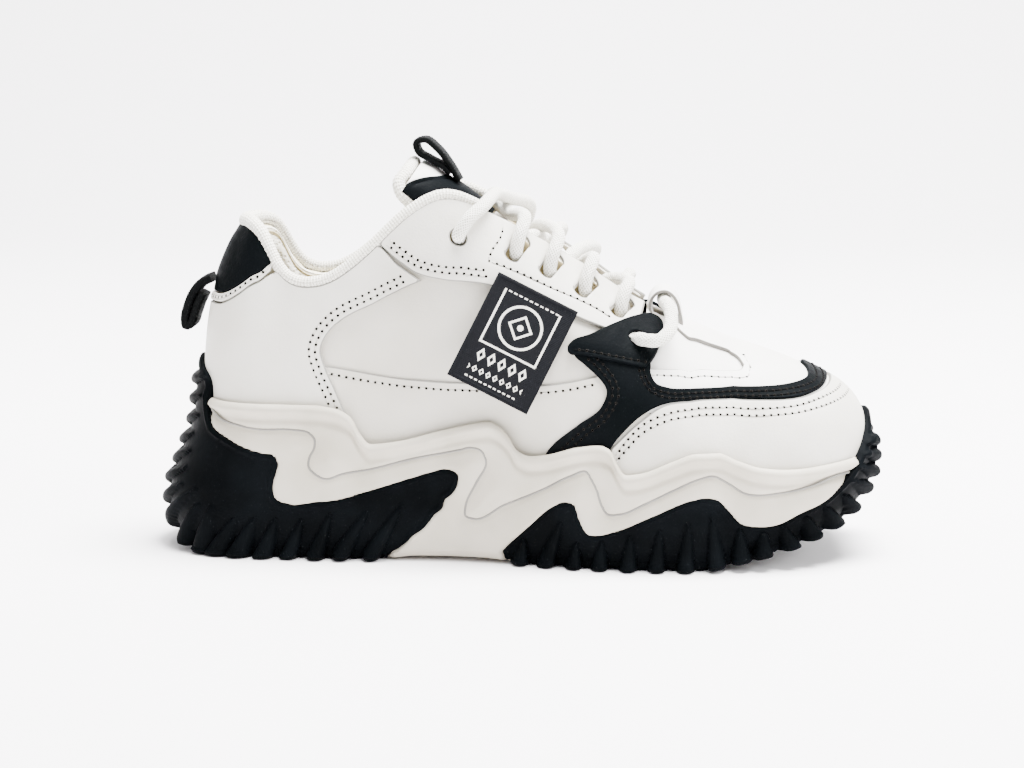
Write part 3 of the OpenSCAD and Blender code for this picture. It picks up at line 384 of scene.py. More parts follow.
class Nodes:
    """Short way to lay and join a material's nodes."""
    def __init__(self, name):
        self.material = bpy.data.materials.new(name)
        self.material.use_nodes = True
        self.tree = self.material.node_tree
        self.shader = self.tree.nodes["Principled BSDF"]

    def add(self, kind, *inputs, **settings):
        node = self.tree.nodes.new(kind)
        for key, value in settings.items():
            setattr(node, key, value)
        for i, value in enumerate(inputs):
            self.put(value, node.inputs[i])
        return node

    def put(self, value, socket):
        if isinstance(value, bpy.types.Node):
            value = value.outputs[0]
        if isinstance(value, bpy.types.NodeSocket):
            self.tree.links.new(value, socket)
        elif value is not None:
            socket.default_value = value

    def math(self, operation, a, b=None, c=None):
        return self.add("ShaderNodeMath", a, b, c, operation=operation)

    def place(self, size, uv=False):
        """Object or UV coordinates scaled so that one unit is size mm."""
        source = self.add("ShaderNodeTexCoord").outputs["UV" if uv else "Object"]
        scale = self.add("ShaderNodeVectorMath", source, operation="SCALE")
        scale.inputs["Scale"].default_value = (100 if uv else 1000) / size
        return scale.outputs[0]

    def noise(self, size, detail=2.0):
        node = self.add("ShaderNodeTexNoise", self.place(size))
        node.inputs["Scale"].default_value = 1
        node.inputs["Detail"].default_value = detail
        return node.outputs[0]

    def cells(self, size, feature="F1"):
        node = self.add("ShaderNodeTexVoronoi", self.place(size), feature=feature)
        node.inputs["Scale"].default_value = 1
        return node.outputs[0]

    def ramp(self, value, low, high, a=0.0, b=1.0):
        node = self.add("ShaderNodeMapRange", value)
        for i, v in enumerate((low, high, a, b)):
            node.inputs[i + 1].default_value = v
        return node.outputs[0]

    def blend(self, factor, a, b):
        node = self.add("ShaderNodeMix", data_type="RGBA")
        self.put(factor, node.inputs[0])
        self.put(a, node.inputs[6])
        self.put(b, node.inputs[7])
        return node.outputs[2]

    def bump(self, *layers):
        """Normal from (height, depth in mm) layers."""
        normal = None
        for height, depth in layers:
            node = self.add("ShaderNodeBump")
            node.inputs["Distance"].default_value = depth * MM
            self.put(height, node.inputs["Height"])
            self.put(normal, node.inputs["Normal"])
            normal = node.outputs[0]
        self.put(normal, self.shader.inputs["Normal"])

    def finish(self, colour, rough, **inputs):
        self.put(colour, self.shader.inputs["Base Color"])
        self.put(rough, self.shader.inputs["Roughness"])
        for key, value in inputs.items():
            self.put(value, self.shader.inputs[key.replace("_", " ")])
        return self.material

def leather(name, light, dark, rough=0.5, grain=0.9, depth=0.05, **inputs):
    n = Nodes(name)
    cells, fine, broad = n.cells(grain), n.noise(0.45, 3), n.noise(28)
    pits = n.ramp(n.noise(0.8, 1), 0.35, 0.6)
    n.bump((cells, depth), (fine, depth * 0.6), (n.noise(4), 0.12))
    tone = n.blend(n.ramp(broad, 0.35, 0.65), rgb(light), rgb(dark))
    tone = n.blend(n.ramp(pits, 0, 1, 0.12, 0), tone, rgb(dark))
    return n.finish(tone, n.ramp(n.noise(3), 0.3, 0.7, rough - 0.06, rough + 0.08), **inputs)

def moulded(name, light, dark, rough, grain, depth, **inputs):
    n = Nodes(name)
    n.bump((n.noise(grain, 3), depth), (n.noise(6), 0.06))
    tone = n.blend(n.ramp(n.noise(18), 0.35, 0.65), rgb(light), rgb(dark))
    return n.finish(tone, n.ramp(n.noise(2.5), 0.3, 0.7, rough - 0.05, rough + 0.07), **inputs)

def knit(name, light, dark, course=1.2, wale=1.0):
    """Ribbed knit: rows run across the piece's UV, which is in 100 mm."""
    n = Nodes(name)
    uv = n.add("ShaderNodeSeparateXYZ", n.place(1, uv=True))
    row = n.math("SINE", n.math("MULTIPLY", uv.outputs[0], 2 * math.pi / course))
    loop_ = n.math("SINE", n.math("ADD", n.math("MULTIPLY", uv.outputs[1], 2 * math.pi / wale),
        n.math("MULTIPLY", row, 0.9)))
    height = n.math("ADD", n.math("MULTIPLY", row, 0.6), n.math("MULTIPLY", loop_, 0.4))
    n.bump((height, 0.16), (n.noise(0.3, 3), 0.12))
    # Colour from the relief's height: darker in the knit's hollows, which paints their shade.
    tone = n.blend(n.ramp(height, -0.9, 0.5), rgb(dark), rgb(light))
    return n.finish(tone, 0.92, Sheen_Weight=0.25, Sheen_Roughness=0.6)

def spacer_mesh(name, light, dark, pitch=2.3):
    n = Nodes(name)
    cells = n.cells(pitch)
    n.bump((n.ramp(cells, 0.15, 0.45), 0.35), (n.noise(0.35, 3), 0.1))
    # Darker towards the cells' middles, the mesh's openings: painted shade in them.
    tone = n.blend(n.ramp(cells, 0.12, 0.4), rgb(dark), rgb(light))
    return n.finish(tone, 0.95, Sheen_Weight=0.3)

def braid(name, light, dark):
    n = Nodes(name)
    uv = n.add("ShaderNodeSeparateXYZ", n.place(1, uv=True))
    one = n.math("SINE", n.math("MULTIPLY", n.math("ADD", uv.outputs[0], uv.outputs[1]), 5.2))
    two = n.math("SINE", n.math("MULTIPLY", n.math("SUBTRACT", uv.outputs[0], uv.outputs[1]), 5.2))
    height = n.math("MAXIMUM", one, two)
    n.bump((height, 0.14), (n.noise(0.25, 3), 0.08))
    # Darker in the braid's grooves: painted shade.
    tone = n.blend(n.ramp(height, -0.3, 0.7), rgb(dark), rgb(light))
    return n.finish(tone, 0.85, Sheen_Weight=0.2)

def webbing(name, light, dark, pitch=0.8, shine=0.4):
    n = Nodes(name)
    uv = n.add("ShaderNodeSeparateXYZ", n.place(pitch, uv=True))
    rib = n.math("ABSOLUTE", n.math("SINE", n.math("MULTIPLY", uv.outputs[0], math.pi)))
    warp = n.math("ABSOLUTE", n.math("SINE", n.math("MULTIPLY", uv.outputs[1], math.pi * 1.4)))
    n.bump((rib, 0.14), (warp, 0.08), (n.noise(0.3, 3), 0.08))
    # Darker between ribs and threads: painted shade in the weave's grooves.
    return n.finish(n.blend(n.math("MULTIPLY", rib, warp), rgb(dark), rgb(light)), 0.8,
        Specular_IOR_Level=shine)

def woven_badge(name, ground, figure):
    """Woven badge cloth: a diamond in a ring in a thin frame, over two rows of small diamonds."""
    n = Nodes(name)
    uv = n.add("ShaderNodeSeparateXYZ", n.place(1, uv=True))
    x, y = uv.outputs[0], uv.outputs[1]
    across = n.math("ABSOLUTE", n.math("SUBTRACT", x, 17))
    down = n.math("ABSOLUTE", n.math("SUBTRACT", y, 15.8))
    both = lambda a, b: n.math("MULTIPLY", a, b)
    near = lambda value, at, reach: n.math("COMPARE", value, at, reach)
    radius = n.math("POWER", n.math("ADD", both(across, across), both(down, down)), 0.5)
    marks = [near(radius, 8.2, 0.5), near(n.math("ADD", across, down), 4.6, 0.6),
        n.math("LESS_THAN", radius, 1.2),
             both(near(across, 11.6, 0.42), near(y, 15.8, 11.2)),
             both(near(y, 26.8, 0.42), near(across, 0, 12)),
             both(near(y, 4.7, 0.3), both(near(across, 0, 12),
             n.math("LESS_THAN", n.math("FRACT", both(x, 0.45)), 0.6))),
             both(near(y, 41, 0.3), both(near(across, 0, 11),
             n.math("LESS_THAN", n.math("FRACT", both(x, 0.5)), 0.6)))]
    for pitch, half, centre, tall in ((4.4, 1.75, 31.6, 2.9), (2.9, 1.1, 37.4, 1.5)):
        cell = n.math("ABSOLUTE", n.math("SUBTRACT", n.math("FRACT",
            n.math("ADD", n.math("DIVIDE", across, pitch), 0.5)), 0.5))
        shape = n.math("ADD", n.math("MULTIPLY", cell, pitch / half),
                       n.math("DIVIDE", n.math("ABSOLUTE", n.math("SUBTRACT", y, centre)), tall))
        marks.append(both(near(shape, 0.72, 0.26), near(across, 0, 11.4)))
    mask = marks[0]
    for mark in marks[1:]:
        mask = n.math("MAXIMUM", mask, mark)
    rib = n.math("ABSOLUTE", n.math("SINE", n.math("MULTIPLY", y, 5.0)))
    warp = n.math("ABSOLUTE", n.math("SINE", n.math("MULTIPLY", x, 6.5)))
    n.bump((rib, 0.12), (warp, 0.06), (mask, 0.1))
    return n.finish(n.blend(mask, rgb(ground), rgb(figure)), 0.8, Specular_IOR_Level=0.08)

# Near-black finish for the discs in the needle holes: painted shade in the holes.
def hole(name):
    n = Nodes(name)
    n.bump((n.noise(0.3), 0.05))
    return n.finish(n.blend(n.noise(1), rgb("#1d1b18"), rgb("#0f0e0c")), 0.95, Specular_IOR_Level=0.1)

white = leather("white_leather", "#cfccc4", "#c5c1b8", 0.5)
# Brighter white for the vamp, keeper and tongue top: painted light on these upward-facing pieces; the finer grain is
# the leather's own.
soft_white_painted_light = leather("white_vamp_leather_painted_light", "#e2e0dc", "#dad7d2", 0.55, 0.7, 0.03)
# Darker, warmer white for the side pieces and the tongue: partly the cream leather's own colour, partly painted shade
# on pieces turned from the overhead light.
shade_white = leather("cream_side_leather_painted_shade", "#c5c0b6", "#bbb6aa", 0.55)
# Grey for the rounded edges of the white pieces: painted shade along the edges where they lie over the next layer.
edge_shade_grey = leather("painted_edge_shade", "#8b8983", "#7b7973", 0.85, 0.5, 0.1)
black = leather("black_leather", "#080a0c", "#050708", 0.5, 1.0, 0.06, Specular_IOR_Level=0.05,
                IOR=1.2)
# Grey for the cut edges of the front piece and keeper: partly the raw edge's own colour, partly painted shadow along
# the raised edge.
raw_edge_grey_and_shade = leather("raw_leather_edge_and_shade", "#7d7a74", "#605d58", 0.9, 0.5, 0.1)
foam_white = moulded("midsole_foam", "#b4ad9f", "#a8a192", 0.62, 0.5, 0.05)
rubber_black = moulded("black_rubber", "#07090b", "#040506", 0.5, 0.4, 0.05, Specular_IOR_Level=0.04, IOR=1.2)
# Grey for the line in the midsole's groove: painted shade in the groove.
groove_shade_grey = moulded("painted_groove_shade", "#7d7b76", "#6d6b66", 0.7, 0.4, 0.03)
knit_cream = knit("cream_knit", "#f0ede3", "#bfb9a9")
lining_mesh = spacer_mesh("beige_spacer_mesh", "#b9aa82", "#7d7050")
insole_cloth = spacer_mesh("insole_cloth", "#c9bd98", "#a79a74", 1.2)
lace_braid = braid("lace_braid", "#f4f2ea", "#b9b4a6")
tape_black = webbing("black_webbing", "#040506", "#010202", 0.95, 0.06)
thread_white = webbing("white_thread", "#efede6", "#c8c4ba", 0.5)
thread_black = webbing("black_thread", "#040506", "#010202", 0.5, 0.06)
painted_hole_shade = hole("needle_hole_shade")
tip_plastic = moulded("tip_plastic", "#f2f1ec", "#e2e0d9", 0.25, 1.5, 0.02, Coat_Weight=0.4)


# ---------------------------------------------------------------- stitched leather pieces
REACH = 70.0

def side_chart(points):
    points = np.asarray(points, float)
    return np.stack([points[:, 0], level(points[:, 0], points[:, 1]) * REACH], -1)

def side_skin(c, off):
    return skin(c[:, 0], c[:, 1] / REACH, off)

def dome_skin(c, off):
    return dome(c[:, 0], c[:, 1], off)

def tongue_skin(c, off):
    return tongue(c[:, 0] / 100, c[:, 1] / 30, off)

def same(points):
    return np.asarray(points, float)

def inward(surface, line, distance):
    """The closed chart line moved inside by a distance measured on the surface."""
    e = 0.05
    gu = (surface(line + [e, 0], 0) - surface(line - [e, 0], 0)) / (2 * e)
    gv = (surface(line + [0, e], 0) - surface(line - [0, e], 0)) / (2 * e)
    E, F, G = (gu * gu).sum(1) + 1e-4, (gu * gv).sum(1), (gv * gv).sum(1) + 1e-4
    t = np.roll(line, -1, 0) - np.roll(line, 1, 0)
    area = 0.5 * np.sum(line[:, 0] * np.roll(line[:, 1], -1) - np.roll(line[:, 0], -1) * line[:, 1])
    n = np.stack([-t[:, 1], t[:, 0]], -1) * np.sign(area)
    det = E * G - F * F + 1e-6
    d = np.stack([(G * n[:, 0] - F * n[:, 1]) / det, (E * n[:, 1] - F * n[:, 0]) / det], -1)
    return line + distance * d / np.sqrt((d * n).sum(1, keepdims=True) + 1e-9)

threads, holes_made = {}, {}

def sew(surface, chart_line, off, colour, body="shoe", pitch=2.8, length=1.9, r=0.26, holes=True):
    """A row of stitches along a chart line: threads between needle holes, and near-black discs in the holes that
    paint their shade.
    """
    line = surface(chart_line, off)
    at, d = evenly(line, pitch)
    up = evenly(surface(chart_line, off + 1), pitch)[0]
    count = min(len(at), len(up))
    at, d, up = at[:count], d[:count], up[:count] - at[:count]
    up -= (up * d).sum(1, keepdims=True) * d
    up /= np.linalg.norm(up, axis=1, keepdims=True) + 1e-9
    side = np.cross(d, up)
    angles = np.arange(6) * math.pi / 3
    store = threads.setdefault((colour, body), [])
    for k in range(count):
        rings = []
        for s, w in ((-1, 0.35), (-0.8, 0.85), (0, 1), (0.8, 0.85), (1, 0.35)):
            c = at[k] + d[k] * s * length / 2 + up[k] * r * (0.7 - 0.6 * abs(s)**3)
            rings.append(c + r * w * (np.cos(angles)[:, None] * side[k] + np.sin(angles)[:, None] * up[k]))
        store.append(np.vstack(rings))
    # Near-black discs at the needle holes: painted shade in the holes.
    if holes:
        spots = holes_made.setdefault(body, [])
        for k in range(count):
            c = at[k] + d[k] * pitch / 2 + up[k] * 0.12
            rim = 0.6 * (np.cos(angles)[:, None] * side[k] + np.sin(angles)[:, None] * d[k])
            spots.append(np.vstack([c + rim * 0.6 + up[k] * 0.07, c + rim, c + rim * 0.8 - up[k] * 0.12]))

def sew_all():
    """One piece for every colour of thread on a body, and one of near-black discs that paint the shade in its needle
    holes.
    """
    for (colour, body), rows in threads.items():
        n = len(rows)
        faces = [f for k in range(n) for f in
                 [*grid_faces(5, 6, True, k * 30).tolist(), [k * 30 + i for i in range(6)][::-1],
                  [k * 30 + 24 + i for i in range(6)]]]
        mat = thread_white if colour == "white" else thread_black
        uv = np.tile(np.stack([np.repeat(np.arange(5), 6), np.tile(np.arange(6), 5)], -1) * 0.004, (n, 1))
        build(f"{colour}_stitches_{body}", np.vstack(rows), faces, mat, body=body, sharp=0, uv=uv)
    for body, rows in holes_made.items():
        n = len(rows)
        faces = [f for k in range(n) for f in
                 [*grid_faces(3, 6, True, k * 18).tolist(), [k * 18 + i for i in range(6)][::-1],
                  [k * 18 + 12 + i for i in range(6)]]]
        build(f"needle_hole_shade_{body}", np.vstack(rows), faces, painted_hole_shade, body=body, sharp=0)

def panel(name, outline, mat, out=0.0, thick=1.1, chart=side_chart, surface=side_skin, cuts=(), step=1.3,
        edge=0.5,
          rows=(), creases=(), relief=None, puff=0.0, wave=0.1, body="shoe", flip=None, colour="white",
          seed=1,
          raw_edge_and_shade=None, **more):
    """Closed leather piece cut to an outline on one of the shoe's surfaces; the edge material, if given, colours its
    rounded cut edges: grey that paints shade along them, for raw edges partly their own colour.

    rows are stitch rows and creases are soft folds, both as open lines like the outline; relief adds height;
    puff raises the middle; flip maps the piece to the other side of the shoe."""
    to_chart = (lambda p: chart(flip(p))) if flip else chart
    rings = [to_chart(outline)] + [flip(c) if flip else c for c in cuts]
    outer3 = np.vstack([dense(np.vstack([surface(r, 0), surface(r[:1], 0)]), 3) for r in rings])
    points, edges, start = [], [], 0
    for r in rings:
        points.append(r)
        edges += [(start + i, start + (i + 1) % len(r)) for i in range(len(r))]
        start += len(r)
    extra = []
    for i, r in enumerate(rings):
        for d in (0.22 * edge, 0.6 * edge, edge, 2 * edge):
            ring = inward(surface, r, d if i == 0 else -d)
            extra.append(ring[nearest(surface(ring, 0), outer3) > 0.8 * d])
    low, high = rings[0].min(0), rings[0].max(0)
    middle = (low + high)[None] / 2
    scale = [np.linalg.norm(surface(middle + v, 0) - surface(middle - v, 0)) / 0.2 + 0.05
             for v in (np.array([[0.1, 0]]), np.array([[0, 0.1]]))]
    du, dv = step / max(scale[0], 0.6), step * 0.87 / max(scale[1], 0.35)
    gu, gv = np.meshgrid(np.arange(low[0], high[0], du), np.arange(low[1], high[1], dv))
    gu = gu + (np.arange(len(gu)) % 2)[:, None] * du / 2
    fill = np.stack([gu.ravel(), gv.ravel()], -1)
    fill = fill[inside(fill, rings)]
    fill = fill[nearest(surface(fill, 0), outer3) > 2.5 * edge]
    extra = np.vstack(extra + [fill])
    extra = extra[inside(extra, rings)]
    flat = np.vstack([np.vstack(points), extra])
    verts, _, tris = delaunay_2d_cdt([Vector(p) for p in flat], edges, [], 0, 1e-5)[:3]
    verts, tris = np.array([tuple(v) for v in verts]), np.array(tris)
    tris = tris[inside(verts[tris].mean(1), rings)]
    used = np.unique(tris)
    back = np.full(len(verts), -1)
    back[used] = np.arange(len(used))
    verts, tris = verts[used], back[tris]
    p0 = surface(verts, 0)
    cross = np.cross(verts[tris[:, 1]] - verts[tris[:, 0]], verts[tris[:, 2]] - verts[tris[:, 0]])
    tris[cross < 0] = tris[cross < 0][:, ::-1]
    away = nearest(p0, outer3)
    u = 1 - np.minimum(away / edge, 1)
    height = -edge * (1 - np.sqrt(np.maximum(1 - u * u, 0))) + wave * waves(p0, 22,
        seed) * np.minimum(away / 4, 1)
    height += puff * (1 - np.exp(-(away / 5)**2))
    for line in rows:
        line3 = dense(surface(to_chart(line), 0), 2)
        height -= 0.2 * np.exp(-(nearest(p0, line3) / 0.9)**2)
    for line, deep, broad in creases:
        height -= deep * np.exp(-(nearest(p0, dense(surface(to_chart(line), 0), 2)) / broad)**2)
    if relief:
        height += relief(verts, p0, away)
    top = surface(verts, out + height)
    base = surface(verts, out - thick)
    count = len(verts)
    sides = tris[:, [0, 1, 1, 2, 2, 0]].reshape(-1, 2)
    key = {(a, b) for a, b in sides.tolist()}
    border_edges = [(a, b) for a, b in key if (b, a) not in key]
    faces = tris.tolist() + (tris[:, ::-1] + count).tolist() + [[b, a, a + count, b + count] for a,
        b in border_edges]
    n0 = np.cross(top[tris[:, 1]] - top[tris[:, 0]], top[tris[:, 2]] - top[tris[:, 0]])
    o0 = (surface(verts, out + 1) - surface(verts, out))[tris[:, 0]]
    if (n0 * o0).sum() < 0:
        faces = [f[::-1] for f in faces]
    # Faces on the rounded edge take the edge grey: painted shade along the edge, for raw edges partly their own
    # colour.
    if raw_edge_and_shade:
        cut = (away[tris].max(1) < 1.05 * edge).astype(int)
        mat = ([mat, raw_edge_and_shade], np.concatenate([cut, 0 * cut, np.ones(len(border_edges), int)]))
    obj = build(name, np.vstack([top, base]), faces, mat, body=body, sharp=50, **more)
    for line in rows:
        sew(surface, to_chart(line), out - 0.16, colour, body)
    return obj

def over_toe(points):
    p = np.array(points, float)
    return np.stack([2 * TOE_Q - p[:, 0], p[:, 1]], -1)

def back_over_toe(points):
    return over_toe(points)[::-1].tolist()

def back_over_heel(points):
    p = np.array(points, float)[::-1]
    return np.stack([2 * HEEL_Q - p[:, 0], p[:, 1]], -1).tolist()

def strip(low, high, edge, back):
    """Outline of a piece that crosses the heel or the toe, from its lateral half."""
    return loop(low + back(low)[1:], back(edge)[::-1], (high + back(high)[1:])[::-1], edge[::-1])

def foot(*places):
    return [(q, float(curve(FOOT_Z, q)) + 0.3) for q in places]

def rim(*places):
    return [(q, float(curve(RIM_Z, q)) + 0.8) for q in places]


# ---------------------------------------------------------------- lace, first of the pieces
lace_path = smooth(LACE_ROUTE, 0.6)
lace = tube("lace", lace_path, 2.5, lace_braid, sides=40,
            relief=lambda s, a: 0.13 * np.maximum(np.cos(6 * a + 1.45 * s), np.cos(6 * a - 1.45 * s)),
            replaces=("lace",), slot="lace_cord")
for n, (end, k) in enumerate(((0, 1), (-1, -1))):
    start = np.array(LACE_ROUTE[end], float)
    along = np.array([-math.sin(math.radians(18)), 0, -math.cos(math.radians(18))])
    path = start + along * np.linspace(0, 18, 37)[:, None]
    tube(f"lace_tip_{n}", path, 1.95, tip_plastic, sides=24,
                     relief=lambda s, a: -0.25 * (s > 17) - 0.12 * (np.abs(s - 3) < 0.6) + 0 * a,
                     replaces=("lace_tips",), slot="aglet")


# ---------------------------------------------------------------- midsole
def over(points, back):
    return points + back(points)[1:]

# Outlines of the rubber on the wall
HEEL_TOP = [(-142, 76), (-132, 73), (-122, 68), (-120, 57), (-117, 51), (-110, 47), (-104, 44), (-98, 42),
    (-93.5, 41),
    (-92, 38), (-93, 33), (-94, 28), (-93, 24), (-88, 22), (-78, 23), (-70, 24), (-56, 28), (-40, 33),
    (-30, 36)]
HEEL_FRONT = [(-30, 36), (-26, 36.5), (-22, 34.5), (-22, 31), (-25, 26), (-27, 24.5), (-28, 21), (-31, 18.5),
    (-33, 15.5), (-36, 12), (-39.5, 9.5), (-42, 6.5), (-46, 3)]
heel_low = [(-46, 3)] + [(q, float(curve(UNDER_Z, q)) + 0.4) for q in range(-54, -143, -8)]
heel_half_top = HEEL_TOP[::-1]
heel_line = loop(heel_low + back_over_heel(heel_low)[1:], back_over_heel(HEEL_FRONT),
                 [tuple(p) for p in (heel_half_top + back_over_heel(heel_half_top)[1:])][::-1], HEEL_FRONT)
FORE_TOP = [(-6, 5), (6, 16), (15, 24), (19, 26), (23.5, 25), (24.5, 22), (26, 18), (29, 14), (33, 14),
    (39, 15.5),
    (54, 22), (68, 28), (73, 29), (78, 28), (82, 24), (87, 18.5), (92, 17.5), (98, 18), (106, 22), (115, 26),
    (121, 31), (128, 37.5), (135, 44), (142, 49.5), (148, 54), (154, 56)]
fore_low = [(q, float(curve(UNDER_Z, q)) + 0.4) for q in (-4, 6, 22, 40, 60, 76, 88, 100, 114, 128, 140, 154)]
fore_line = strip(fore_low, FORE_TOP, [fore_low[0], FORE_TOP[0]], back_over_toe)

GROOVE = [(-142, 63), (-131, 61), (-120, 58), (-114, 54), (-106, 52), (-100, 51), (-86, 51), (-80, 50),
    (-78, 48),
    (-78, 44), (-80, 40), (-80, 36), (-78, 34), (-74, 32), (-67, 34), (-56, 36), (-40, 40), (-21, 44),
    (-17, 45),
    (-13, 44), (-11, 40), (-15, 31), (-19, 22), (-19, 18), (-16, 17), (-4, 23), (11, 30), (22, 36),
    (28, 38), (30, 35),
    (32, 31), (34, 25), (36, 22), (41, 22), (50, 26), (62, 32), (71, 36), (76, 37), (82, 34), (88, 30),
    (100, 30),
    (110, 32), (120, 35), (131, 35), (143, 35.5), (154, 36)]
groove_line = smooth(GROOVE, 0.7)
groove_all = np.vstack([groove_line, over_toe(groove_line)[::-1][1:]])
around = np.linspace(HEEL_Q, 2 * TOE_Q - HEEL_Q, 561)[:-1]
groove_3d = wall(groove_all[:, 0], groove_all[:, 1])
place = fold(around)
top_z, low_z = curve(WALL_TOP, place), curve(UNDER_Z, place) + 1.0
lip = 2.3
hidden_low = curve([(-52, 1), (-47, 0), (-1, 0), (8, 1)], place)
flat = lambda c: np.column_stack([c, np.zeros(len(c))])
rubber_edges = np.vstack([dense(flat(np.vstack([line, line[:1]])), 3) for line in (heel_line, fore_line)])
rows = []
for v in np.linspace(0, 1, 60)**0.95:
    z = low_z + (top_z - lip - low_z) * v
    p = wall(around, z)
    near = nearest(p, groove_3d)
    down = top_z - lip - z
    out = 1.3 * (1 - np.exp(-(near / 5)**2)) - 0.8 * np.exp(-(near / 0.9)**2)
    out += 0.9 * np.exp(-(down / 1.6)**2) - 1.1 * np.exp(-((down - 3.4) / 1.7)**2)
    out *= curve([(-132, 0), (-120, 1), (130, 1), (140, 0)], place)
    c = np.stack([place, z], -1)
    deep = (inside(c, [heel_line]) | inside(c, [fore_line])) * np.clip(nearest(flat(c), rubber_edges) / 2,
        0, 1)
    out = out * (1 - deep) - 3.2 * deep
    out -= (1.6 + 5.4 * hidden_low) * np.exp(-((z - low_z) / (1.6 + 5 * hidden_low))**4)
    out += 0.12 * waves(p, 16, 5)
    rows.append(wall(around, z, out))
roll = out
for a in np.radians([18, 36, 54, 70, 84, 97]):
    z = top_z - lip + lip * np.sin(a)
    outer = wall(around, z, roll - lip * (1 - np.cos(a)))
    rows.append(outer)
def at_radius(P, r, z):
    f, reach, c, d, turn = plan(P)
    return np.stack([c[0] + r * d[0], c[1] + r * d[1], z + 0 * r], -1)
rows.append(at_radius(around, upper_r(around, top_z) + 0.5, top_z - 0.5))
rows.append(at_radius(around, upper_r(around, top_z - 3) + 0.3, top_z - 3))
rows.append(at_radius(around, upper_r(around, curve(FOOT_Z, place)) + 0.6, curve(FOOT_Z, place)))
bed = curve(BED_Z, place)
rows.append(at_radius(around, upper_r(around, bed) - 0.3, bed))
n, m = len(rows), len(around)
faces = grid_faces(n, m, wrap=True).tolist()
half = m // 2
faces += [[k, k + 1, m - k - 1, (m - k) % m] for k in range(half)]
faces += [[(n - 1) * m + i for i in ((m - k) % m, m - k - 1, k + 1, k)] for k in range(half)]
faces = [list(dict.fromkeys(f)) for f in faces]
build("midsole_foam", np.vstack(rows), faces, foam_white, sharp=60, replaces=("midsole",),
    slot="midsole_foam")
# Grey tubes sunk in the groove: painted shade along it.
for n_, line in enumerate((groove_line, over_toe(groove_line))):
    path = wall(line[:, 0], line[:, 1], -0.75)
    tube(f"groove_line_{n_}", path, 0.5, groove_shade_grey, sides=8, slot="midsole_foam")


# ---------------------------------------------------------------- outsole
REAR_LUGS = [((-56, 2), (-44, 22)), ((-68, 2), (-57, 20)), ((-78, 1), (-72, 18)), ((-89, 0), (-83, 16)),
    ((-98, 0), (-93, 16)), ((-106, 1), (-100, 16)), ((-113, 1), (-106, 16)), ((-118, 2), (-113, 20)),
    ((-126, 4), (-118, 20)), ((-138, 8), (-119, 26)), ((-141, 17), (-125, 27)), ((-142, 25.5), (-126, 33)),
    ((-142, 33.5), (-126, 40)), ((-142, 41.5), (-128, 46)), ((-142, 49.5), (-125, 54)),
    ((-142, 57.5), (-124, 62)),
    ((-142, 66), (-123, 69))]
FRONT_LUGS = [((2, 0), (4, 10)), ((12, 0), (18, 18)), ((23, 0), (24, 10)), ((33, 0), (34, 11)),
    ((44, 0), (45, 14)),
    ((55, 0), (56, 16)), ((66, 0), (67, 19)), ((78, 2), (76, 22)), ((87, 4), (86, 16)), ((94, 6), (94, 15)),
    ((104, 8), (100, 17)), ((112, 12), (108, 20)), ((122, 15), (115, 23)), ((130, 20), (122, 27)),
    ((136, 27), (125, 32)), ((140, 33), (129, 37)), ((142, 39), (131, 42)), ((143, 45), (134, 46))]

def petals(c, lugs):
    """Tapered blocks, 1 high at the base and thinner to the tip, at each chart place."""
    best = np.zeros(len(c))
    for (a, z0), (b, z1) in lugs:
        d = np.array([b - a, z1 - z0], float)
        size = np.linalg.norm(d)
        t = (c - [a, z0]) @ d / size**2
        across = np.abs((c[:, 0] - a) * d[1] - (c[:, 1] - z0) * d[0]) / size
        across = np.hypot(across, np.maximum(-t, 0) * size)
        half = 2.9 if abs(fold(a)) > 122 else 3.5
        w = half * np.clip(1.02 - t, 0, 1)**0.6 + 1e-6
        h = np.clip(1 - (across / w)**2, 0, 1)**0.5 * (0.35 + 0.65 * np.clip(1 - t, 0, 1))
        best = np.maximum(best, np.where(t < 1.02, h, 0))
    return best

def rubber_relief(lugs, back):
    both = lugs + [tuple(map(tuple, back([b, a]))) for a, b in lugs]
    def relief(c, p, away):
        bump = petals(c, both)
        low = c[:, 1] - curve(UNDER_Z, fold(c[:, 0]))
        notch = np.clip((8 - low) / 7, 0, 1)
        valley = np.clip((18 - low) / 10, 0, 1)
        flat = (1 - bump)**2
        return 3.6 * bump - flat * (2.4 * notch + 1.1 * valley) - 0.4 + 0.45 * np.exp(-((away - 1.5) / 0.45)**2)
    return relief

def rubber_skin(c, off):
    """The sole's wall, and above the foam the upper's own side."""
    p = wall(c[:, 0], c[:, 1], off)
    above = np.clip((c[:, 1] - curve(WALL_TOP, fold(c[:, 0]))) / 5, 0, 1)[:, None]
    lean = at_radius(c[:, 0], upper_r(c[:, 0], c[:, 1]) + off + 0.6, c[:, 1])
    return p + (3 * above**2 - 2 * above**3) * (lean - p)

panel("heel_rubber", heel_line, rubber_black, out=1.7, thick=5.4, chart=same, surface=rubber_skin,
    step=1.05, edge=0.8,
      relief=rubber_relief(REAR_LUGS, back_over_heel), wave=0.05, replaces=("outsole_heel",),
      slot="outsole_rubber")
panel("forefoot_rubber", fore_line, rubber_black, out=1.7, thick=5.4, chart=same, surface=rubber_skin,
    step=1.1,
      edge=0.8, relief=rubber_relief(FRONT_LUGS, back_over_toe), wave=0.05, replaces=("outsole_forefoot",),
      slot="outsole_rubber")

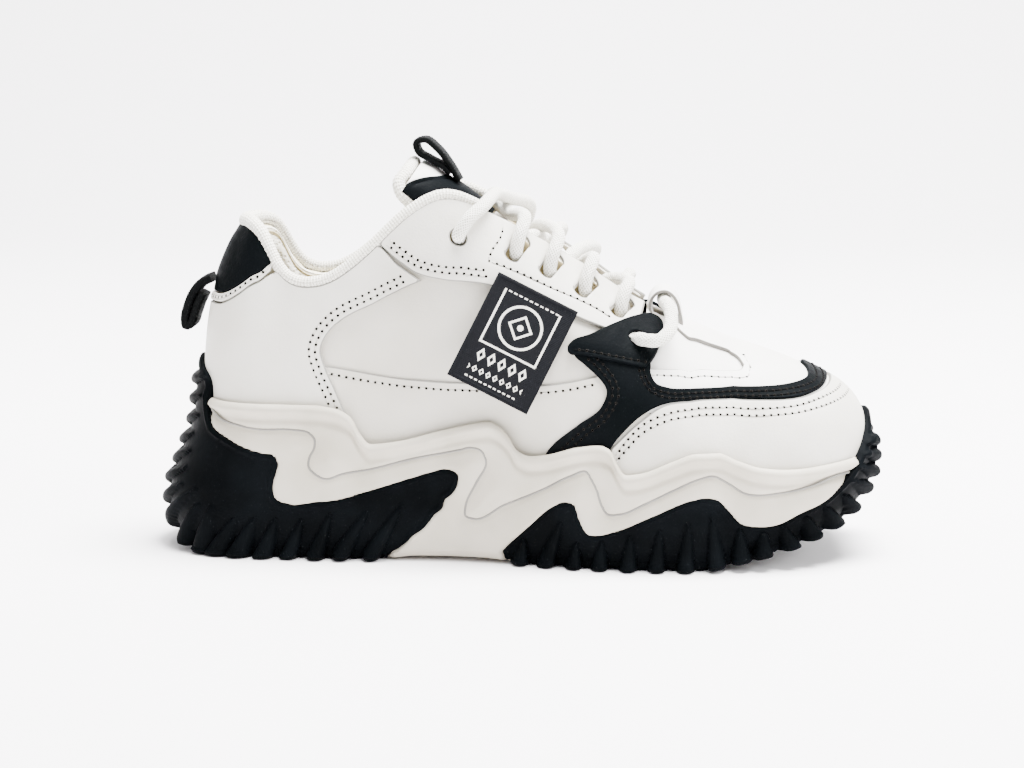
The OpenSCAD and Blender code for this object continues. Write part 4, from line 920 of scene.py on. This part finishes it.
def tread(name, first, last):
    """Flat underside of one outsole piece, with ribs across it."""
    P = np.arange(first, last, 2.0) if first < last else np.arange(first, last, -2.0)
    ring = wall(P, curve(UNDER_Z, fold(P)) + 1, -1.2)[:, :2]
    f = np.linspace(HEEL_Q, TOE_Q, 400)
    line_x = wall(f, curve(UNDER_Z, f), -1.2)[:, 0]
    order = np.argsort(line_x)
    def surface(c, off):
        z = np.interp(c[:, 0], line_x[order], curve(UNDER_Z, f)[order])
        return np.stack([c[:, 0], c[:, 1], z + 0 * c[:, 0] - off], -1)
    def relief(c, p, away):
        wave_ = np.abs(((c[:, 0] + 0.6 * np.abs(c[:, 1])) / 7.5) % 1 - 0.5) * 2
        return -2.2 * np.clip((wave_ - 0.62) / 0.12, 0, 1) * np.clip((np.abs(c[:, 1]) - 1.5) / 0.8, 0, 1)
    panel(name, ring, rubber_black, out=-0.15, thick=3.2, chart=same, surface=surface, step=1.5, edge=0.8,
          relief=relief, wave=0, slot="outsole_rubber")

tread("heel_tread", -284 + 48, -48)
tread("forefoot_tread", -3, 311)


# ---------------------------------------------------------------- upper: white pieces
def beside(points, d):
    """A line in chart places, moved d mm to its left."""
    p = smooth(points, 3)
    t = np.gradient(p, axis=0)
    t /= np.linalg.norm(t, axis=1, keepdims=True)
    return p + d * np.stack([-t[:, 1], t[:, 0]], -1)

def eyelet(q, t, wide, tall, turn=0.0):
    """Ring of chart places for a hole in the skin, wide along the shoe and tall up it."""
    a = np.arange(28) * 2 * math.pi / 28
    x, y = wide / 2 * np.cos(a), wide / 2 * np.sin(a) + (tall - wide) / 2 * np.sign(np.sin(a) + 1e-9)
    c, s = math.cos(turn), math.sin(turn)
    x, y = c * x - s * y, s * x + c * y
    rate = np.linalg.norm(skin(q, t + 0.005, 0) - skin(q, t - 0.005, 0)) / 0.01
    return np.stack([q + x, t * REACH + y * REACH / rate], -1)

slot_rings = [eyelet(q, t, 5.6, 14.6, math.radians(-24)) for q, t in SLOTS]
round_rings = [eyelet(q, t, 6.4, 6.4) for q, t in ((-22, 0.87), (47, 0.73))]
SIDES = (("lateral", None), ("medial", over_toe))
line = lambda *p: smooth(p, 1)

for side_name, flip in SIDES:
    low = [(-82, 70), (-60, 68), (-32, 66), (0, 66), (33, 68), (48, 68)]
    high = [(-84, 90), (-68, 103), (-55, 116), (-44, 123), (-32, 121), (-11, 114), (6, 109), (29, 99),
        (48, 93)]
    panel(f"{side_name}_side", loop(low, [low[-1], high[-1]], high[::-1], [high[0], low[0]]), shade_white,
        out=-2.5,
          flip=flip, step=1.6, puff=0.3, wave=0.3, seed=3, replaces=(f"{side_name}_side_panel",),
          slot="cream_leather")
    low = foot(-64, -45, -26, -7, 12, 31, 44)
    high = [(-80, 76.5), (-68, 75), (-50, 72), (-32, 70.3), (-15, 70), (15, 71), (33, 75), (44, 77.5),
        (51.5, 78)]
    panel(f"{side_name}_lower", loop(low, [low[-1], (52, 56), high[-1]], high[::-1],
        [high[0], (-74, 62), low[0]]),
          shade_white, out=-1.3, flip=flip, step=1.5, wave=0.25, seed=4, raw_edge_and_shade=edge_shade_grey,
          rows=[line((-74, 73.2), (-68, 72), (-50, 69), (-32, 67.3), (-15, 67), (15, 68), (30, 71.3))],
          replaces=(f"{side_name}_lower_panel",), slot="cream_leather")
    low = [(-9, 118), (0, 113.5), (17, 104.5), (31, 98), (44, 92)]
    high = rim(-3, 8, 20, 34, 48)
    panel(f"{side_name}_stay", loop(low, [low[-1], high[-1]], high[::-1], [high[0], (-6, 127), low[0]]),
        shade_white,
          out=-1.3, flip=flip, cuts=slot_rings, step=1.8, replaces=(f"{side_name}_eyestay",),
          slot="cream_leather")
    low = [(-52.5, 123), (-45, 117), (-37, 112), (-30, 110.6), (-11, 108.5), (6, 103.5), (29, 94), (46, 87)]
    high = rim(-51.5, -40, -28, -14, 4, 20, 35, 50)
    panel(f"{side_name}_collar", loop(low, [low[-1], high[-1]], high[::-1], [high[0], low[0]]), white, out=0,
          flip=flip, cuts=slot_rings + round_rings[:1], step=1.15, wave=0.2, seed=5, edge=0.5, raw_edge_and_shade=edge_shade_grey,
          rows=[line((-50, 123.5), (-44, 119), (-38, 115.3), (-30, 113.4), (-20, 112.6), (-11, 111.5)),
                line((-49, 125.3), (-43, 121), (-37, 117.3), (-30, 115.6), (-20, 114.8), (-12, 113.9)),
                line((-5, 130), (-6, 126), (-9, 121), (-10, 118), (-5, 115.5), (1, 113), (17, 105.4),
                (23, 102.8),
                     (31, 98.8), (36, 95.5))],
          replaces=(f"{side_name}_collar_panel",), slot="white_leather")

heel_front = foot(-57) + [(-66, 58), (-70, 67), (-74, 76), (-75.5, 82), (-73, 88), (-68, 93), (-54, 100.5),
    (-42, 107), (-36, 109.5)]
heel_top = [(-36, 109.5), (-46, 116), (-54, 122.5)] + rim(-64, -74, -84, -92) + [(-98, 110), (-105, 106.5),
    (-113, 101.5), (-121, 98.5), (-131, 98), (-142, 97.5)]
row_a = beside(heel_front[1:-1], 2.2)
row_b = beside(heel_front[1:-1], 4.6)
panel("heel_cup", strip(foot(-57, -74, -91, -108, -125, -142), heel_top, heel_front, back_over_heel), white,
    out=0,
      step=1.3, wave=0.35, seed=6, raw_edge_and_shade=edge_shade_grey, rows=[row_a, row_b, back_over_heel(row_a),
      back_over_heel(row_b)],
      replaces=("heel_overlay",), slot="white_leather")
trim_low = [(-96.5, 112), (-105, 107.2), (-113, 102.2), (-121, 99.2), (-131, 98.6), (-142, 98.2)]
trim_high = [(-95.6, 115), (-104, 110.5), (-112, 105.5), (-121, 102.2), (-131, 101.6), (-142, 101.2)]
trim_row = [(-97, 113.3), (-104.6, 108.9), (-112.5, 103.9), (-121, 100.7), (-131, 100.1), (-142, 99.7)]
panel("heel_trim_strip", strip(trim_low, trim_high, [trim_low[0], trim_high[0]], back_over_heel), white,
    out=0.35,
      thick=1.6, step=1.0, rows=[smooth(trim_row + back_over_heel(trim_row)[1:], 1)], replaces=("heel_trim",),
      slot="white_leather")
tab_low = [(-95.6, 115.2), (-104, 111), (-112, 106.3), (-121, 102.9), (-131, 102.3), (-142, 101.9)]
panel("heel_tab_patch", strip(tab_low, rim(-96, -104, -112, -121, -128, -135, -142),
    [tab_low[0]] + rim(-96)[:1],
      back_over_heel), black, out=0, step=1.3, puff=0.8, colour="black", seed=7, replaces=("heel_tab",),
      slot="black_leather")


# ---------------------------------------------------------------- upper: toe
def ribbon(name, points, wide, thick, body, node, mat, slot, raw_edge_and_shade=None, wale=0.07, y0=0.0):
    """Folded band across the shoe, along a line of (x, z) places."""
    centre = smooth(points, 0.5)
    t = np.gradient(centre, axis=0)
    t /= np.linalg.norm(t, axis=1, keepdims=True)
    n = np.stack([-t[:, 1], t[:, 0]], -1)
    a = np.arange(28) * 2 * math.pi / 28
    y = np.sign(np.cos(a)) * np.abs(np.cos(a))**0.35 * wide / 2
    h = np.sign(np.sin(a)) * np.abs(np.sin(a))**0.5 * thick / 2
    s = np.arange(len(centre)) * 0.5
    rib = 1 + wale * np.sin(2 * math.pi * s / 0.9)[:, None]
    x = centre[:, :1] + n[:, :1] * h * rib
    z = centre[:, 1:] + n[:, 1:] * h * rib
    p = np.stack([x, np.broadcast_to(y + y0, x.shape), z], -1)
    m_ = len(a)
    faces = grid_faces(len(centre), m_, wrap=True).tolist()
    faces += [list(range(m_)), [(len(centre) - 1) * m_ + k for k in range(m_)][::-1]]
    uv = np.stack(np.broadcast_arrays(s[:, None] * 0.01, y[None] * 0.01), -1).reshape(-1, 2)
    # The band's narrow sides take the edge grey: raw edge colour, partly painted shade.
    if raw_edge_and_shade:
        side_ = np.tile((np.abs(np.cos(a + math.pi / m_)) > 0.93).astype(int), len(centre) - 1)
        mat = ([mat, raw_edge_and_shade], np.concatenate([side_, [1, 1]]))
    build(name, p.reshape(-1, 3), faces, mat, body=body, uv=uv, replaces=(node,), slot=slot)

def dome_chart(points):
    p = np.asarray(points, float)
    return skin(p[:, 0], level(p[:, 0], p[:, 1]))[:, :2]

def throat(q0):
    """Chart places along the throat's edge from q0 to the ridge, and back on the other side."""
    x = np.array([q for q in (q0, 54, 58, 61, 63.5, 65.5, 66.8) if q >= q0], float)
    w = curve(RIM_WIDTH, x) + 0.4
    s = curve(SPINE, x)
    return np.vstack([np.stack([x, s + w], -1), np.stack([x, s - w], -1)[::-1]])

def saddle_line(q0, low, n=60):
    """Outline of a piece over the toe, from fractions of the way up where it begins."""
    P = np.linspace(q0, 2 * TOE_Q - q0, n * 3)
    return np.vstack([skin(P, curve(low, fold(P)))[:, :2], throat(q0)])

def over_ridge(points):
    """A row of stitches over the toe from its lateral half."""
    return over(list(points), back_over_toe)

panel("vamp_leather", saddle_line(50.5, [(50, 0.3), (154, 0.3)]), soft_white_painted_light, out=-2.6, thick=1.1, chart=same,
      surface=dome_skin, step=1.5, wave=0.3, seed=8, replaces=("vamp",), slot="white_leather")
# The front piece has a long opening on each side, whose upper edge is the keeper's raw edge; the grey on its edge
# faces is partly painted shade.
window = [(50.5, 77.2), (60, 76.8), (71, 76.2), (84, 75.1), (89, 75.4), (91.6, 76.8)]
keeper_edge = [(91.6, 76.8), (90, 78.6), (84, 81.2), (71, 86), (64, 89.4), (60.5, 92.6)]
front_low = np.linspace(50.5, 2 * TOE_Q - 50.5, 180)
opening = np.vstack([smooth(window, 1), smooth(keeper_edge, 1)[1:]])
front_outline = np.vstack([skin(front_low, 0.32)[:, :2], dome_chart(over_toe(opening)),
    dome_chart(opening)[::-1]])
seam = beside([(52, 77.2), (60, 76.8), (71, 76.2), (84, 75.1), (90, 75), (93.6, 76.4), (92.5, 79)], -2.4)
panel("vamp_front_leather", front_outline, soft_white_painted_light, out=-1.2, thick=1.5, chart=same, surface=dome_skin,
    step=1.3,
      edge=0.4, wave=0.2, seed=9, raw_edge_and_shade=raw_edge_grey_and_shade, rows=[dome_chart(seam), dome_chart(over_toe(seam))],
      replaces=("vamp_facing",), slot="white_leather")

ribbon("keeper_arch", [(64.4, 84), (64.3, 88), (64.2, 91.4), (63.6, 94.6), (62.8, 97.8), (61.2, 100.8),
    (58.2, 102.9),
    (54.8, 102.4), (52.4, 99.8), (51.8, 96.6), (52.4, 94.2)], 23, 1.7, "shoe", "lace_keeper", soft_white_painted_light,
    "white_leather", raw_edge_grey_and_shade, 0, 0.8)

mud_high = [(37.5, 47), (49, 58), (57, 63.2), (68, 64.6), (92, 64.4), (112, 64.5), (126, 66.3), (140, 68),
    (154, 68.8)]
mud_low = foot(34, 58, 82, 106, 130, 154)
mud_rows = [over_ridge([(39, 44), (44, 51), (49, 56), (58, 60.2), (68, 61.8), (92, 61.3), (110, 62),
    (121, 63.6),
                        (140, 65.4), (154, 66)]),
            over_ridge([(37, 39), (43, 46.5), (49, 53), (58, 57.6), (68, 59.3), (92, 58.8), (110, 59.6),
            (121, 61),
                        (140, 62.8), (154, 63.4)])]
panel("toe_mudguard_leather", strip(mud_low, mud_high, [mud_low[0], mud_high[0]], back_over_toe), white,
    out=0,
      step=1.3, wave=0.35, seed=11, raw_edge_and_shade=edge_shade_grey, rows=[smooth(r, 1) for r in mud_rows],
      replaces=("toe_mudguard",),
      slot="white_leather")
black_low = foot(33) + [(37.5, 47.6), (43, 54.5), (50, 60.6), (57, 64), (68, 65.2), (92, 65), (112, 65.1),
    (126, 66.9),
    (140, 68.7), (154, 69.5)]
black_high = foot(8) + [(13, 45), (25, 56), (33.5, 63), (35.5, 69), (32, 74.5), (27, 79), (23, 83),
    (25, 86), (36, 84.5),
    (48, 82), (52, 79.5), (52.2, 75.5), (54, 72), (59, 70), (68, 69.3), (88, 69.1), (109, 69.5), (125, 70.8),
    (140, 73), (154, 74.4)]
back_rows = [beside([(11, 42), (14, 45), (25, 55.5), (33.5, 63), (35.5, 69), (32, 74.5), (27, 79)],
    d) for d in (-2.2, -4.4)]
front_rows = [beside([(50.5, 79), (51.5, 75), (54, 71.3), (59, 69.5), (68, 69), (88, 68.8), (109, 69.2),
    (125, 70.5),
                      (140, 72.7), (154, 74.1)], d) for d in (-1.5, -3.1)]
panel("black_side_and_toe_band", strip(black_low, black_high, [black_low[0], foot(20)[0], black_high[0]],
    back_over_toe),
      black, out=0.1, thick=2.6, step=1.15, edge=0.4, colour="black", seed=12,
      rows=[r for b in back_rows for r in (b, over_toe(b))] + [over_ridge(f.tolist()) for f in front_rows],
      replaces=("toe_band", "lateral_sweep", "medial_sweep"), slot="black_leather")

for side_name, flip in SIDES:
    low = [(22, 82.5), (26, 82.2), (36, 80), (44, 78.2), (50, 77)]
    high = [(20.5, 85.5), (22, 87.2), (29, 89.5), (38, 92.5), (46, 94.3), (53, 94.2), (56.8, 91.5), (57, 88)]
    right = [(50, 77), (52.5, 79.5), (55, 83.5), (57, 88)]
    panel(f"{side_name}_lace_lobe_leather", loop(low, right, high[::-1],
        [(20.5, 85.5), (20.7, 83.4), (22, 82.5)]), black,
          out=1.35,
          thick=2.4, edge=0.4, flip=flip, cuts=round_rings[1:], step=1.0, colour="black", seed=14, puff=0.3,
          rows=[beside(low, 1.6)], replaces=(f"{side_name}_lace_lobe",), slot="black_leather")


# ---------------------------------------------------------------- inside of the shoe
def lining_skin(c, off):
    return skin(c[:, 0], np.minimum(c[:, 1] / REACH, 1), curve([(-60, -7.5), (-20, -5)], fold(c[:, 0])) + off)

panel("shoe_lining", loop([(43, 1), (-327, 1)], [(-327, 1), (-327, 69)], [(-327, 69), (43, 69)],
    [(43, 69), (43, 1)],
      step=1.5), lining_mesh, chart=same, surface=lining_skin, step=2.2, thick=1, wave=0.3, seed=15,
      replaces=("quarter_lining",), slot="lining_mesh")

board = np.linspace(HEEL_Q, 2 * TOE_Q - HEEL_Q, 241)[:-1]
f_, reach_ = plan(board)[:2]
bed_line = at_radius(board, reach_ - curve(FOOT_IN, f_) - 9.2, 0)[:, :2]
bed_x = np.linspace(-142, 154, 200)
bed_at = at_radius(bed_x, plan(bed_x)[1] - 11, 0)[:, 0]
order_ = np.argsort(bed_at)
def bed_skin(c, off):
    z = np.interp(c[:, 0], bed_at[order_], curve(BED_Z, bed_x)[order_]) + 7
    cup = 0.004 * np.minimum(np.abs(c[:, 1]), 40)**2
    return np.stack([c[:, 0], c[:, 1], z + off + cup - 2.5], -1)
sock = panel("sock_liner", bed_line, insole_cloth, chart=same, surface=bed_skin, thick=2.4, step=2.2,
    edge=1.2,
             wave=0.2, out=0, replaces=("sockliner",), slot="lining_mesh")


# ---------------------------------------------------------------- collar binding
knit_pad = spacer_mesh("cream_knit_pad", "#efebdf", "#c9c2ae", 1.7)
P_ = np.arange(-13, 2 * HEEL_Q + 13, -0.45)
binding_r = curve([(-142, 3.1), (-110, 2.7), (-92, 2.3), (-70, 2.2), (-50, 2.3), (-30, 2.4), (-13, 1.9)],
    fold(P_))
binding_path = skin(P_, 1, -binding_r) + np.stack([0 * P_, 0 * P_, 0.8 * binding_r], -1)
def knit_skin(c, off):
    """The lining's surface, leaning out to the binding at its top edge."""
    return lining_skin(c, off + 3 * np.clip((c[:, 1] - 62) / 7, 0, 1)**2)

panel("collar_inner_knit", loop([(-30, 61), (-70, 59), (-142, 57), (-214, 59), (-254, 61)],
    [(-254, 61), (-254, 70)],
      [(-254, 70), (-30, 70)], [(-30, 70), (-30, 61)], step=1.5), knit_pad, chart=same, surface=knit_skin,
      out=0.4, thick=3.4, step=1.8,
      edge=1.4, wave=0.1, seed=21, slot="knit")
tube("collar_binding_knit", binding_path, binding_r, knit_cream, sides=30,
               relief=lambda s, a: 0.2 * np.cos(2 * math.pi * s / 2.1) * np.cos(10 * a),
               replaces=("collar_binding",), slot="knit")


# ---------------------------------------------------------------- tongue
def tongue_piece(name, u0, u1, mat, out, thick, slot, reach=1.0, **more):
    box = [(u0, -30 * reach), (u1, -30 * reach), (u1, 30 * reach), (u0, 30 * reach)]
    outline = loop(box[0:2], box[1:3], box[2:4], [box[3], box[0]], step=1.5)
    return panel(name, outline, mat, chart=same, surface=tongue_skin, out=out, thick=thick, body="tongue",
                 slot=slot, **more)

tongue_piece("tongue_leather", 3, 62, shade_white, 0, 1, "white_leather", puff=0.5, step=1.6, seed=16,
             rows=[line((6, -27), (60, -27)), line((6, 27), (60, 27))], replaces=("tongue_face",))
top_edge = [(100, -27), (98.6, -24), (94, -17), (88.6, -8), (87, 0), (88.6, 8), (94, 17), (98.6, 24),
    (100, 27)]
dark = loop([(62.5, 30), (62.5, -30)], [(62.5, -30), (80, -31), (100, -31)], [(100, -31), (100, -27.5)],
            [(100, -27), (98.6, -24), (94, -17), (88.6, -8), (87, 0), (88.6, 8), (94, 17), (98.6, 24),
            (100, 27)],
            [(100, 27.5), (100, 31)], [(100, 31), (80, 31), (62.5, 30)], step=1.2)
panel("tongue_black_panel", dark, black, chart=same, surface=tongue_skin, out=0.4, thick=3.6, body="tongue",
    step=1.2,
      puff=0.5, seed=17, colour="black", creases=[(smooth([(p[0] - 2.4, p[1]) for p in top_edge[1:-1]], 1),
      0.6, 0.5)],
      replaces=("tongue_panel",), slot="black_leather")
pale = loop([(98, -23.5), (93.5, -17), (88, -8), (86.5, 0), (88, 8), (93.5, 17), (98, 23.5)],
            [(98, 23.5), (100, 26)], [(100, 26), (100, -26)], [(100, -26), (98, -23.5)], step=1.0)
panel("tongue_white_patch", pale, soft_white_painted_light, chart=same, surface=tongue_skin, out=0, thick=1.2,
    body="tongue", step=1.1,
      puff=0.6, seed=18, replaces=("tongue_top_patch",), slot="white_leather")
tongue_piece("tongue_mesh", 3, 98, lining_mesh, -5.6, 0.9, "lining_mesh", reach=0.93, step=2, seed=19,
    replaces=("tongue_lining",))
pad = tongue_piece("tongue_pad", 3, 98, foam_white, -1.25, 4.0, "padding", reach=0.9, step=2.2, puff=0.2,
    edge=1.5, seed=20,
                   replaces=("tongue_foam",))
sides_ = [0.76, 0.82, 0.88, 0.94]
knit_route = ([tongue(u, -1.08, -2.4) for u in sides_] + [tongue(0.99, -1.05, -2.4)]
              + [tongue(1.0, v, -3) + [-2.2, 0, 1.5] for v in (-0.9, -0.6, -0.3, 0, 0.3, 0.6, 0.9)]
              + [tongue(0.99, 1.05, -2.4)] + [tongue(u, 1.08, -2.4) for u in sides_[::-1]])
tube("tongue_knit_edge", smooth(knit_route, 0.4), 2.5, knit_cream, sides=26, body="tongue",
     relief=lambda s, a: 0.17 * np.cos(2 * math.pi * s / 2.1) * np.cos(9 * a),
     replaces=("tongue_knit",), slot="knit")


# ---------------------------------------------------------------- pull loops
ribbon("tongue_loop_webbing", [(-23.6, 145.6), (-27.6, 152.4), (-32.4, 158.4), (-37.2, 161.7), (-40.5, 160.5),
    (-39.8, 157.2), (-35.4, 154.2), (-30.6, 151.6), (-27, 148.4)], 14, 2.5,
    ("tongue", "tongue_loop", (-0.0262, 0, 0.149), (-0.029, 0, 0.1538)), "tongue_pull_loop", tape_black,
    "webbing")
ribbon("heel_loop_webbing", [(-122.5, 106.6), (-126, 105), (-129.6, 101.2), (-132.2, 95.6), (-133.4, 90),
    (-132.9, 87.4),
    (-131.4, 88), (-129.6, 92), (-128, 96.4), (-126, 100.4)], 14, 3.6, "heel_loop", "heel_pull_loop",
    tape_black,
    "webbing")


# ---------------------------------------------------------------- woven label
WIDE, LONG = 34.0, 44.0
badge_cloth = woven_badge("badge_cloth", "#08090d", "#d9d7cf")
nx, nz = 69, 89
u, v = np.meshgrid(np.linspace(0, WIDE, nx), np.linspace(0, LONG, nz), indexing="ij")
lean, turn = math.radians(26.8), math.radians(-15)
def badge(u, v, out):
    """Point of the label: u along its sewn edge, v down from it."""
    bow = 1.1 * np.sin(v / LONG * math.pi) + 0.4 * np.sin(u / WIDE * math.pi) * (v / LONG)
    corner = 1.2 * ((u / WIDE - 0.5) * 2)**4 * (v / LONG)**4
    y = -0.2 - bow * 0.5 - out + corner * 0.3
    z = -v
    y, z = y * math.cos(turn) - z * math.sin(turn), y * math.sin(turn) + z * math.cos(turn)
    return np.stack([-6 + u * math.cos(lean) + z * math.sin(lean), -38.2 + y,
                     113.5 - u * math.sin(lean) + z * math.cos(lean)], -1)
weave = 0.05 * np.abs(np.sin(v * 5)) + 0.04 * np.abs(np.sin(u * 6.5))
border = np.minimum(np.minimum(u, WIDE - u), np.minimum(v, LONG - v))
hem = 0.28 * np.exp(-((border - 0.9) / 0.5)**2) - 0.3 * np.exp(-(border / 0.25)**2)
front, rear = badge(u, v, 0.45 + weave + hem), badge(u, v, -0.45 + 0 * u)
count = nx * nz
faces = grid_faces(nx, nz).tolist() + grid_faces(nx, nz, start=count)[:, ::-1].tolist()
edge_ = ([i * nz for i in range(nx)] + [(nx - 1) * nz + j for j in range(1, nz)]
         + [i * nz + nz - 1 for i in range(nx - 2, -1, -1)] + [j for j in range(nz - 2, 0, -1)])
faces += [[a, b, b + count, a + count] for a, b in zip(edge_, edge_[1:] + edge_[:1])]
uv = np.stack([u.ravel(), v.ravel()], -1) * 0.01
label = build("label_cloth", np.vstack([front.reshape(-1, 3), rear.reshape(-1, 3)]), faces, badge_cloth,
    body="label",
              uv=np.vstack([uv, uv]), replaces=("woven_label",), slot="label_weave")


# ---------------------------------------------------------------- finishing
sew_all()
hidden_finish = {"insole_board": moulded("fibre_board", "#cdbf9a", "#b3a582", 0.9, 0.6, 0.08),
                 "heel_counter": moulded("counter_board", "#b9a47a", "#a08c66", 0.85, 0.8, 0.06),
                 "toe_puff": moulded("puff_board", "#b9a47a", "#a08c66", 0.85, 0.8, 0.06),
                 "collar_foam": moulded("collar_foam_pad", "#e5dcc0", "#d3c9ab", 0.95, 0.7, 0.2),
                 "vamp_lining": spacer_mesh("vamp_lining_cloth", "#d8cfb8", "#b3a98c")}
for node, mat in hidden_finish.items():
    for slot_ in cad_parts[node].material_slots:
        slot_.material = mat


# ---------------------------------------------------------------- floor and light
def stage_sheet():
    """Pale floor that rises behind the shoe."""
    y = np.r_[np.linspace(-2.5, 1.2, 3), 1.2 + 0.8 * np.sin(np.radians(np.arange(6, 91, 6))), 2.0]
    z = np.r_[0, 0, 0, 0.8 - 0.8 * np.cos(np.radians(np.arange(6, 91, 6))), 3.2]
    points = [(x, float(a), float(b)) for a, b in zip(y, z) for x in (-3.5, 3.5)]
    me = bpy.data.meshes.new("floor")
    me.from_pydata(points, [], grid_faces(len(y), 2).tolist())
    me.polygons.foreach_set("use_smooth", np.ones(len(me.polygons), bool))
    n = Nodes("floor_paper")
    me.materials.append(n.finish(n.blend(n.noise(60), rgb("#f4f2f3"), rgb("#f2f0f2")), 0.9))
    obj = bpy.data.objects.new("floor", me)
    bpy.context.scene.collection.objects.link(obj)

def lamp(name, place, target, size, power, colour=(1, 1, 1)):
    data = bpy.data.lights.new(name, "AREA")
    data.shape, data.size, data.energy, data.color = "DISK", size, power, colour
    obj = bpy.data.objects.new(name, data)
    obj.location = place
    aim(obj, target)
    bpy.context.scene.collection.objects.link(obj)

stage_sheet()
lamp("overhead", (0.35, 0.05, 1.5), (0, 0, 0), 1.0, 175)
lamp("front_left", (-1.1, -1.3, 1.0), (0, 0, 0.06), 0.9, 3)
lamp("front_right", (1.4, -0.8, 0.9), (0, 0, 0.06), 0.7, 30)
lamp("backdrop", (0, 0.3, 2.0), (0, 1.9, 0.5), 1.6, 155)
world = bpy.data.worlds.new("studio")
world.use_nodes = True
world.node_tree.nodes["Background"].inputs[0].default_value = (1, 1, 1, 1)
world.node_tree.nodes["Background"].inputs[1].default_value = 1.0
bpy.context.scene.world = world
